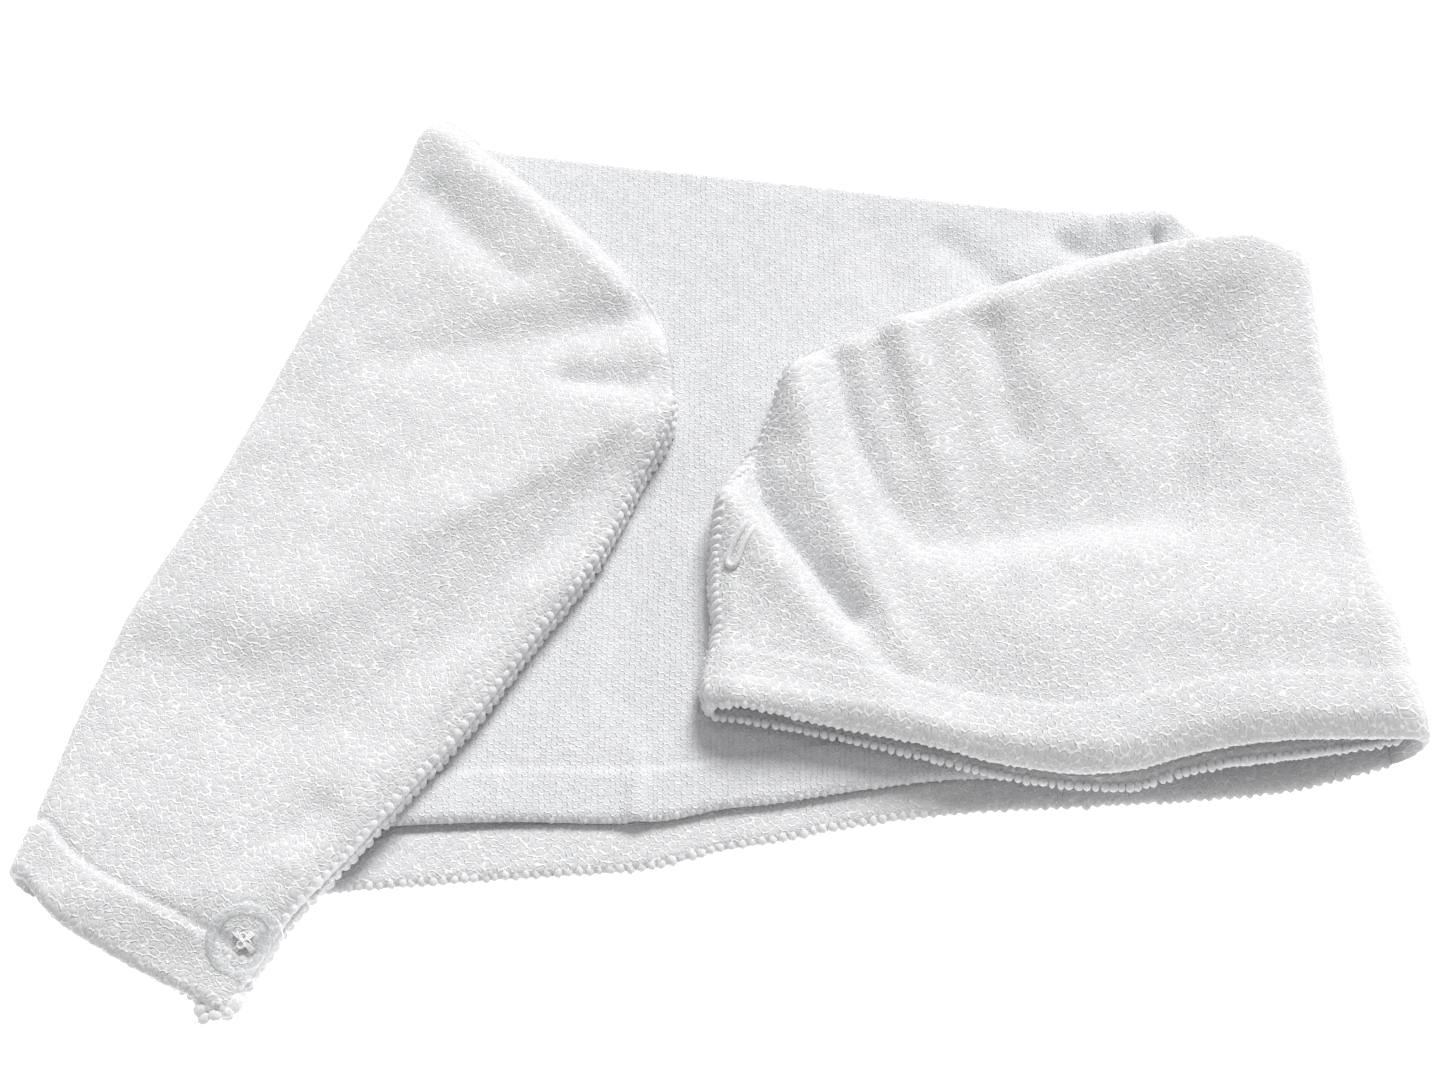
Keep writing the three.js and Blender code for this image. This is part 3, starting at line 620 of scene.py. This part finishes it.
def zone_run(zone, low, high, step):
    """Stations of one zone, from and to a share along it, about a step in millimetres apart."""
    along = spread(low, high, step / zone_long[zone])
    turn = np.zeros_like(along) if zone == "body" else np.full_like(along, math.pi)
    return zone, along, turn


def bend_run(zone, count):
    """Stations round a folded edge, from the flap down to the body for the tail."""
    share = np.linspace(0, 1, count + 1)[1:]
    if zone == "tail":
        return zone, np.ones(count), math.pi * (1 - share)
    return zone, np.zeros(count), math.pi * (share - 1 / count)


def hem_shape(from_hem, stitches):
    """The rise of a turned hem, and its row of stitches."""
    puff = 0.6 * smoothstep(from_hem, 0, 2.5) * (1 - smoothstep(from_hem, hem_deep - 2.5, hem_deep + 0.5))
    return puff + stitches * np.exp(-((from_hem - hem_deep) / 1.2) ** 2)


under_step = 0.8
seen_along = spread(0, 0.76, under_step / zone_long["body"])
seen_across = spread(0, 0.14, under_step / zone_deep["body"])[::-1]
low_along = np.concatenate([seen_along, np.linspace(0.76, 1, 25)[1:]])
low_across = np.concatenate([np.linspace(0.985, 0.14, 49)[:-1], seen_across])
under = cloth_grid([("body", low_along, 0 * low_along)], [("back", low_across, 0 * low_across)])
under_pile = 1 - smoothstep(under[2], 20, 25)
back_cloth = cloth_sheet(
    "back_cloth", under, 4, 2.0, hem_shape(under[2], -0.1), under_pile, (False, False, False, True),
)
raise_loops(back_cloth, *loop_size, 0.3)
back_cloth.data.materials.append(looped)
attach(back_cloth, "root")
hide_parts("back_panel", "back_hem")


# The tail: the right end of the back panel, which comes round its fold and over the front, its
# looped face up. At its top the cloth rolls over to the layer under it, as one piece.
def over_top(step, deep):
    """Rows across a folded end's upper layer, round its top and a little way underneath."""
    across = spread(0, 1, step / deep)
    roll = np.linspace(0, math.pi, 9)[1:]
    under_rows = np.linspace(1, 0.96, 5)[1:]
    return [
        ("back", across, np.zeros_like(across)),
        ("back", np.ones(8), roll),
        ("front", under_rows, np.full(4, math.pi)),
    ]


tail_run = zone_run("tail", 0, 1, flap_step)
tail_grid = cloth_grid([tail_run, bend_run("tail", 28)], over_top(flap_step, zone_deep["tail"]))
tail_cloth = cloth_sheet(
    "tail_cloth", tail_grid, 4, 2.0, hem_shape(tail_grid[2], 0.45), 1.0, (True, False, True, False),
)
raise_loops(tail_cloth, *loop_size, 0.28)
tail_cloth.data.materials.append(looped)
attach(tail_cloth, "root")
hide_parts("back_panel", "back_hem")


# The wide end: the left end of the back panel, folded over the same way and lying lower, down
# to the table past the body's hem.
wide_run = zone_run("wide", 0, 1, flap_step)
wide_grid = cloth_grid([bend_run("wide", 28), wide_run], over_top(flap_step, zone_deep["wide"]))
wide_cloth = cloth_sheet(
    "wide_cloth", wide_grid, 4, 2.0, hem_shape(wide_grid[2], -0.55), 1.0, (False, True, True, False),
)
raise_loops(wide_cloth, *loop_size, 0.26)
wide_cloth.data.materials.append(looped)
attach(wide_cloth, "root")
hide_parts("back_panel", "back_hem")


# The front panel where it shows between the folded ends: the same cloth with its fine ribbed
# face up. It comes over the top fold in one piece with the back panel.
rib_size = (1.55, 2.0, 0.1)
# The colours: the loops' own, the painted highlight on their rims and the painted shade in their gaps.
ribbed = terry(
    "ribbed_terry", rib_size, (0.745, 0.75, 0.77), (0.99, 0.99, 1.0), (0.38, 0.38, 0.40), 0.8,
)


def body_bands(step):
    across = spread(0, 1, step / zone_deep["body"])
    return [
        ("back", np.linspace(0.97, 1, 5)[:-1], np.zeros(4)),
        ("back", np.ones(9), np.linspace(0, math.pi, 9)),
        ("front", across[::-1][1:], np.full(len(across) - 1, math.pi)),
    ]


fine = spread(0.1, 0.88, 0.75 / zone_long["body"])
body_along = np.concatenate([np.linspace(0, 0.1, 9)[:-1], fine, np.linspace(0.88, 1, 9)[1:]])
body_grid = cloth_grid([("body", body_along, 0 * body_along)], body_bands(0.95))
front_cloth = cloth_sheet(
    "front_cloth", body_grid, 4, 2.0, hem_shape(body_grid[2], -0.15), 1.0, (False, False, False, True),
)
raise_loops(front_cloth, *rib_size, 0.25)
front_cloth.data.materials.append(ribbed)
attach(front_cloth, "root")
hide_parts("front_panel", "front_hem")


# The inner layers of the two folded ends, which show only at their hems and in the folds.
for zone in ("tail", "wide"):
    rows = spread(0, 0.96, inner_step / zone_deep["tail"])[::-1]
    runs = [zone_run(zone, 0, 1, inner_step)]
    runs.insert(1 if zone == "tail" else 0, bend_run(zone, 12))
    inner_grid = cloth_grid(runs, [("front", rows, np.full(len(rows), math.pi))])
    free = (zone == "tail", zone == "wide", False, True)
    inner = cloth_sheet("inner_" + zone + "_cloth", inner_grid, 1, 2.0, 0.0, 0.0, free)
    inner.data.materials.append(looped)
    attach(inner, "root")
    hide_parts("front_panel", "front_hem")


# The overcast seam that closes the tail: yarn laid over both edges in slanting loops, close
# together, on a firm core. The same yarn goes on a little way along the end's top edge.
chance = np.random.default_rng(7)


def spaced(line, out, step):
    """Even places along a line, each with the ways along it, out from it and up."""
    gaps = np.linalg.norm(np.diff(line, axis=0), axis=1)
    run = np.concatenate([[0], np.cumsum(gaps)])
    places = np.arange(step / 2, run[-1], step)
    places = places + chance.normal(0, 0.06 * step, len(places))
    ahead = np.gradient(line, axis=0)
    found = [np.stack([np.interp(places, run, v[:, k]) for k in range(3)], -1) for v in (line, ahead, out)]
    centre, ahead, out = found
    ahead /= np.linalg.norm(ahead, axis=1, keepdims=True)
    out = out - (out * ahead).sum(axis=1, keepdims=True) * ahead
    out /= np.linalg.norm(out, axis=1, keepdims=True)
    up = np.cross(ahead, out)
    side = np.sign(up[:, 2:])
    return centre, ahead * side, out, up * side


def thread_loops(rows):
    """Points, faces and places on the yarn of many small loops. A row holds its line, the way
    out, the spacing, three radii, the slant along the line, the droop outwards and a shift."""
    bpy.ops.mesh.primitive_uv_sphere_add(segments=8, ring_count=6, radius=1)
    pattern = bpy.context.object
    ball = np.array([v.co for v in pattern.data.vertices])
    fours = np.array([p.vertices for p in pattern.data.polygons if len(p.vertices) == 4])
    threes = np.array([p.vertices for p in pattern.data.polygons if len(p.vertices) == 3])
    bpy.data.objects.remove(pattern)
    points, quads, triangles, yarn = [], [], [], []
    for line, out, step, radii, slant, droop, shift in rows:
        centre, ahead, out, up = spaced(line, out, step)
        for k in range(len(centre)):
            turn = slant + chance.normal(0, 0.12)
            lean = droop + chance.normal(0, 0.08)
            size = np.array(radii) * chance.normal(1, 0.09, 3)
            a = math.cos(turn) * ahead[k] + math.sin(turn) * out[k]
            b = math.cos(turn) * out[k] - math.sin(turn) * ahead[k]
            c = math.cos(lean) * up[k] + math.sin(lean) * b
            b = math.cos(lean) * b - math.sin(lean) * up[k]
            middle_point = centre[k] + shift[0] * out[k] + shift[1] * up[k]
            first = len(points) * len(ball)
            points.append(middle_point + (ball * size) @ np.array([a, b, c]))
            quads.append(fours + first)
            triangles.append(threes + first)
            yarn.append(ball * size + [k * 7.3, k * 3.1, 0])
    return np.vstack(points), np.vstack(quads), np.vstack(triangles), np.vstack(yarn)


def yarn_piece(name, rows, core=None):
    """A piece of thread loops, with the closed bar that they lie on."""
    points, quads, triangles, yarn = thread_loops(rows)
    if core is not None:
        upper, lower, out, half = core
        centre = (upper + lower) / 2
        rise = (upper - lower) / 2
        tall = np.linalg.norm(rise, axis=1, keepdims=True)
        rise = rise / tall * (tall + 0.8)
        out = out / np.linalg.norm(out, axis=1, keepdims=True)
        sides = 12
        angle = np.arange(sides) * 2 * math.pi / sides
        ring = centre[:, None] + out[:, None] * (half * np.cos(angle))[:, None]
        ring = ring + rise[:, None] * np.sin(angle)[:, None]
        first = len(points)
        grid = first + np.arange(len(centre) * sides).reshape(-1, sides)
        nxt = np.roll(grid, -1, axis=1)
        quads = np.vstack([quads, np.stack([grid[:-1], nxt[:-1], nxt[1:], grid[1:]], -1).reshape(-1, 4)])
        tips = first + grid.size + np.arange(2)
        triangles = np.vstack([
            triangles, np.stack([nxt[0], grid[0], np.full(sides, tips[0])], -1),
            np.stack([grid[-1], nxt[-1], np.full(sides, tips[1])], -1),
        ])
        extra = np.vstack([ring.reshape(-1, 3), centre[:1], centre[-1:]])
        points = np.vstack([points, extra])
        yarn = np.vstack([yarn, extra])
    piece = make_mesh(name, points, [quads, triangles], {"cloth": yarn})
    bpy.context.view_layer.objects.active = piece
    piece.select_set(True)
    bpy.ops.object.mode_set(mode="EDIT")
    bpy.ops.mesh.select_all(action="SELECT")
    bpy.ops.mesh.normals_make_consistent(inside=False)
    bpy.ops.object.mode_set(mode="OBJECT")
    piece.select_set(False)
    piece.data.materials.append(yarn_paint)
    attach(piece, "root")
    return piece


yarn_paint, yarn_tree, yarn_shader = paint("yarn_paint", {
    "Roughness": 0.85, "Specular IOR Level": 0.25, "Sheen Weight": 0.4, "Sheen Roughness": 0.4,
})
on_yarn = add_node(yarn_tree, "ShaderNodeAttribute", attribute_name="cloth").outputs["Vector"]
stretch = add_node(yarn_tree, "ShaderNodeMapping", {"Vector": on_yarn, "Scale": (3.4, 1.0, 3.4)})
plies = add_node(yarn_tree, "ShaderNodeTexNoise", {
    "Vector": stretch.outputs["Vector"], "Scale": 1.0, "Detail": 3,
}).outputs["Fac"]
shades = add_node(yarn_tree, "ShaderNodeValToRGB", {"Fac": plies})
stops = ((0.32, (0.72, 0.72, 0.735, 1)), (0.62, (0.90, 0.90, 0.91, 1)))
for stop, (place, shade) in zip(shades.color_ramp.elements, stops):
    stop.position = place
    stop.color = shade
yarn_tree.links.new(shades.outputs["Color"], yarn_shader.inputs["Base Color"])
add_relief(yarn_tree, yarn_shader, plies, 0.5, 0.0003)


def end_edge(zone, panel):
    """The seamed edge of one layer of a folded end, from the hem up, and the way out of it."""
    wide = 150.0 if zone == "tail" else 105.0
    along = np.array([0.0, 1.5 / wide]) if zone == "tail" else np.array([1.0, 1 - 1.5 / wide])
    across = np.linspace(0, 1, 240)
    roll = np.zeros(240) if panel == "back" else np.full(240, math.pi)
    edge = cloth_strip(zone, along, np.full(2, math.pi), panel, across, roll)[0]
    return edge[0], edge[0] - edge[1]


def hem_edge(zone, panel, low, high, inset):
    """A line of one layer a little inside its hem, and the way out to the hem."""
    along = np.linspace(low, high, 500)
    turn = np.full(500, 0.0 if zone == "body" else math.pi)
    across = np.array([inset, inset + 1.2]) / 150
    roll = np.zeros(2) if panel == "back" else np.full(2, math.pi)
    edge = cloth_strip(zone, along, turn, panel, across, roll)[0]
    return edge[:, 0], edge[:, 0] - edge[:, 1]


def top_edge(zone, low, high):
    """The rounded top of a folded end, and the way out of it."""
    along = np.linspace(low, high, 300)
    roll = np.array([math.pi / 2, math.pi / 3])
    edge = cloth_strip(zone, along, np.full(300, math.pi), "back", np.ones(2), roll)[0]
    return edge[:, 0], edge[:, 0] - edge[:, 1] + [0, 0, 0.01]


tail_upper, tail_out = end_edge("tail", "back")
tail_lower, _ = end_edge("tail", "front")
roll_line, roll_out = top_edge("tail", 0.0, 0.36)
tail_threads = yarn_piece("tail_seam_yarn", [
    (tail_upper, tail_out, 2.5, (1.25, 2.9, 1.2), 0.35, 0.45, (-0.6, 0.2)),
    ((tail_upper + tail_lower) / 2, tail_out, 2.5, (1.2, 1.3, 1.9), 0.2, 0.0, (0.7, -0.4)),
    (tail_lower, tail_out, 2.4, (1.2, 1.5, 1.2), 0.2, -0.2, (0.2, 0.0)),
    (roll_line, roll_out, 2.9, (1.15, 2.6, 1.2), 0.5, 0.3, (-0.2, 0.4)),
], (tail_upper, tail_lower, tail_out, 1.0))
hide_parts("tail_seam")


# The seam that closes the wide end, with rounder loops, and the thick corner where it meets the
# hem: the turned hem and the seam's end are caught up there in a puffed tab.
wide_upper, wide_out = end_edge("wide", "back")
wide_lower, _ = end_edge("wide", "front")
tab_middle = np.array([-126.8, -134.8, 4.4])
tab_half = np.array([6.4, 7.0, 3.4])
tab_out = np.tile([0.2, -1.0, 0.0], (20, 1))
core_line = tab_middle + np.linspace(-0.5, 0.5, 20)[:, None] * np.array([1.0, 0, 0])
tab_rows = [(core_line, tab_out, 1.0, (6.1, 6.7, 3.3), 0.0, 0.0, (0, 0))]
for down in (-5.2, -2.7, -0.2, 2.3, 4.6):
    half_row = tab_half[0] * math.sqrt(1 - (down / tab_half[1]) ** 2) * 0.92
    share = np.linspace(-1, 1, 20)[:, None]
    domed = 1 - (down / tab_half[1]) ** 2 - (share * half_row / tab_half[0]) ** 2
    row = tab_middle + half_row * share * np.array([1, 0.28, 0]) - np.array([0, down, 0])
    row[:, 2:] += tab_half[2] * np.sqrt(np.maximum(domed, 0.04)) - 0.9
    tab_rows.append((row, tab_out, 3.1, (2.0, 1.75, 1.1), 0.15, 0.25, (0, 0)))
wide_threads = yarn_piece("wide_seam_yarn", [
    (wide_upper, wide_out, 3.0, (1.7, 1.9, 1.2), 0.1, 0.4, (-0.1, 0.0)),
    (wide_lower, wide_out, 3.0, (1.6, 1.6, 1.4), 0.1, -0.2, (0.1, 0.0)),
    ((wide_upper + wide_lower) / 2, wide_out, 3.0, (1.6, 1.2, 1.6), 0.1, 0.0, (0.6, 0.0)),
    *tab_rows,
], (wide_upper, wide_lower, wide_out, 1.0))
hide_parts("wide_seam")


# The hems' edges: each turned edge is finished with a close row of round yarn loops, caught
# into the edge itself.
hem_rows = {
    "tail_hem_loops": ("back_hem", [
        ("tail", "back", 0.0, 1.0, 0.9, 2.25, (1.2, 1.5, 1.15)),
        ("tail", "front", 0.0, 1.0, -0.5, 2.25, (1.2, 1.5, 1.1)),
    ]),
    "wide_hem_loops": ("back_hem", [
        ("wide", "back", 0.0, 1.0, 0.9, 2.3, (1.15, 1.3, 1.0)),
        ("wide", "front", 0.0, 1.0, 0.4, 2.3, (1.15, 1.3, 1.0)),
    ]),
    "front_hem_loops": ("front_hem", [
        ("body", "front", 0.02, 0.80, 0.9, 2.2, (1.15, 1.45, 1.1)),
    ]),
    "back_hem_loops": ("back_hem", [
        ("body", "back", 0.0, 0.80, 0.7, 2.7, (1.4, 1.8, 1.15)),
    ]),
}
for name, (node, lines) in hem_rows.items():
    rows = []
    for zone, panel, low, high, inset, step, radii in lines:
        line, out = hem_edge(zone, panel, low, high, inset)
        rows.append((line, out, step, radii, 0.0, 0.15, (0, 0.25 if panel == "back" else 0.1)))
    yarn_piece(name, rows)
    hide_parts(node)


# The button: clear plastic, 20 mm across, with a raised rim round a shallow dish and four holes.
# It keeps the model's own form.
button = bpy.data.objects["button"]
clear_plastic, clear_tree, clear_shader = paint("clear_plastic_polished", {
    "Base Color": (0.92, 0.93, 0.94, 1), "IOR": 1.49,
})
clear_place = clear_tree.nodes.new("ShaderNodeTexCoord").outputs["Object"]
scuffs = add_node(clear_tree, "ShaderNodeTexNoise", {
    "Vector": clear_place, "Scale": 900, "Detail": 3,
}).outputs["Fac"]
scuffed = map_node(clear_tree, scuffs, 0.3, 0.8, 0.03, 0.14)
clear_tree.links.new(scuffed, clear_shader.inputs["Roughness"])
edgewise = add_node(clear_tree, "ShaderNodeLayerWeight", {"Blend": 0.5}).outputs["Facing"]
solid_edge = map_node(clear_tree, edgewise, 0.2, 0.8, 0.16, 0.85)
clear_tree.links.new(solid_edge, clear_shader.inputs["Alpha"])
for slot_of_button in button.material_slots:
    slot_of_button.material = clear_plastic


# The button's thread: white sewing thread crossed through the four holes, wound under the button,
# and tied off in small loops on top.
rim_points = np.array([v.co for v in button.data.vertices]) * 1000
button_middle = (rim_points.min(axis=0) + rim_points.max(axis=0)) / 2
_, _, turned = np.linalg.svd(rim_points - rim_points.mean(axis=0), full_matrices=False)
face_up = turned[2] * np.sign(turned[2][2])
face_x = np.cross([0, 1, 0], face_up)
face_x /= np.linalg.norm(face_x)
face_y = np.cross(face_up, face_x)


def cord_run(name, places, radius, around, along, order):
    """A curve with round ends of the given radius in millimetres, through places in metres."""
    data = bpy.data.curves.new(name, "CURVE")
    data.dimensions = "3D"
    data.bevel_depth = radius / 1000
    data.bevel_resolution = around
    data.use_fill_caps = True
    data.resolution_u = along
    spline = data.splines.new("NURBS")
    spline.points.add(len(places) - 1)
    spline.use_endpoint_u = True
    spline.order_u = order
    for knot, place in zip(spline.points, places):
        knot.co = (*place, 1)
    run = bpy.data.objects.new(name, data)
    scene.collection.objects.link(run)
    return run


def thread_run(points, radius):
    """A thread through points given across, up and out of the button's face, in millimetres."""
    face = np.array([face_x, face_y, face_up])
    return cord_run("thread_run", (button_middle + np.array(points) @ face) / 1000, radius, 2, 4, 3)


hole_out = 2.4
runs = []
for sx, sy in ((1, 1), (1, -1)):
    for k in (-1, 0, 1):
        a = 0.34 * k
        lift = 0.95 + 0.4 * (sy < 0)
        runs.append(thread_run([
            (-sx * hole_out + a * sy, -sy * hole_out - a * sx, -2.2),
            (-sx * hole_out + a * sy, -sy * hole_out - a * sx, 0.5),
            (-sx * 1.6 + a * sy, -sy * 1.6 - a * sx, lift), (a * sy * 0.5, -a * sx * 0.5, lift + 0.15),
            (sx * 1.6 + a * sy, sy * 1.6 - a * sx, lift),
            (sx * hole_out + a * sy, sy * hole_out - a * sx, 0.5),
            (sx * hole_out + a * sy, sy * hole_out - a * sx, -2.2),
        ], 0.26))
for heading, long in ((1.75, 2.7), (4.0, 2.4), (5.9, 2.2)):
    ring = [(0, 0, 1.5)]
    for k in range(1, 8):
        swing = math.sin(k / 8 * 2 * math.pi) * 0.95
        reach = long * math.sin(k / 8 * math.pi) * 0.5 * (1 + (k in (3, 4, 5)) * 0.6)
        ring.append((
            reach * math.cos(heading) - swing * math.sin(heading),
            reach * math.sin(heading) + swing * math.cos(heading), 1.5 + 0.2 * math.sin(k),
        ))
    runs.append(thread_run(ring + [(0, 0, 1.6)], 0.28))
winding = [(1.7 * math.cos(k * 0.7), 1.7 * math.sin(k * 0.7), -1.4 - 0.07 * k) for k in range(36)]
runs.append(thread_run(winding, 0.32))
bpy.ops.object.select_all(action="DESELECT")
for run in runs:
    run.select_set(True)
bpy.context.view_layer.objects.active = runs[0]
bpy.ops.object.convert(target="MESH")
bpy.ops.object.join()
thread = bpy.context.object
thread.name = "crossed_thread"
bpy.ops.object.shade_smooth()
thread_paint, thread_tree, thread_shader = paint("thread_paint", {
    "Roughness": 0.7, "Sheen Weight": 0.3,
})
thread_place = thread_tree.nodes.new("ShaderNodeTexCoord").outputs["Object"]
thread_ply = add_node(thread_tree, "ShaderNodeTexWave", {
    "Vector": thread_place, "Scale": 900, "Distortion": 1.5,
}, bands_direction="DIAGONAL").outputs["Fac"]
ply_shade = mix_colours(thread_tree, thread_ply, (0.78, 0.78, 0.78, 1), (0.92, 0.92, 0.92, 1))
thread_tree.links.new(ply_shade, thread_shader.inputs["Base Color"])
add_relief(thread_tree, thread_shader, thread_ply, 0.5, 0.0001)
thread.data.materials.clear()
thread.data.materials.append(thread_paint)
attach(thread, "root")
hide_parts("button_thread")


# The elastic loop that takes the button: a short doubled cord, braided over rubber, caught in the
# tail's seam and lying on the tail.
loop_plan = [
    (9.4, -1.0), (7.0, -4.6), (4.7, -8.6), (2.5, -12.6), (1.2, -15.8), (1.5, -17.6), (2.9, -18.1),
    (4.0, -16.6), (5.0, -13.4), (7.0, -9.6), (9.4, -5.4), (11.6, -2.0),
]
tail_top = tail_grid[0][: len(tail_run[1])].reshape(-1, 3)
loop_path = []
for k, (x, y) in enumerate(loop_plan):
    nearest = tail_top[np.argmin(np.hypot(tail_top[:, 0] - x, tail_top[:, 1] - y))]
    sunk = 1.6 if k in (0, len(loop_plan) - 1) else 0.0
    loop_path.append(((np.array([x, y, nearest[2] + 1.45 - sunk]) + middle) / 1000))
loop = cord_run("elastic_cord_loop", loop_path, 0.85, 3, 6, 4)
bpy.ops.object.select_all(action="DESELECT")
bpy.context.view_layer.objects.active = loop
loop.select_set(True)
bpy.ops.object.convert(target="MESH")
loop = bpy.context.object
bpy.ops.object.shade_smooth()
loop.select_set(False)
braid_paint, braid_tree, braid_shader = paint("braid_paint", {"Roughness": 0.75, "Sheen Weight": 0.3})
braid_place = braid_tree.nodes.new("ShaderNodeTexCoord").outputs["Object"]
braid = add_node(braid_tree, "ShaderNodeTexVoronoi", {"Vector": braid_place, "Scale": 1500})
braid_shade = mix_colours(
    braid_tree, braid.outputs["Distance"], (0.86, 0.86, 0.87, 1), (0.66, 0.66, 0.67, 1),
)
braid_tree.links.new(braid_shade, braid_shader.inputs["Base Color"])
add_relief(braid_tree, braid_shader, braid.outputs["Distance"], 0.6, 0.00015, invert=True)
loop.data.materials.append(braid_paint)
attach(loop, "root")
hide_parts("button_loop")


# The floor and the light: a plain white table, a bright even surround and a wide soft lamp
# from behind the towel, a little to the right.
scene.view_settings.view_transform = "Standard"
bpy.ops.mesh.primitive_plane_add(size=6, location=(0, 0, -0.0007))
floor = bpy.context.object
floor.name = "floor"
floor.data.materials.append(paint("floor_paint", {
    "Base Color": (0.96, 0.96, 0.96, 1), "Roughness": 0.9,
    "Emission Color": (1, 1, 1, 1), "Emission Strength": 0.78,
})[0])
surround = bpy.data.worlds.new("surround")
surround.use_nodes = True
sky = surround.node_tree.nodes["Background"]
sky.inputs["Color"].default_value = (1, 1, 1, 1)
sky.inputs["Strength"].default_value = 0.46
scene.world = surround
lamp_data = bpy.data.lights.new("lamp", "SUN")
lamp_data.angle = math.radians(24)
lamp_data.energy = 2.95
lamp = bpy.data.objects.new("lamp", lamp_data)
lamp.location = (0.35, 0.95, 1.05)
lamp.rotation_euler = (Vector((0, 0, 0)) - lamp.location).to_track_quat("-Z", "Y").to_euler()
scene.collection.objects.link(lamp)
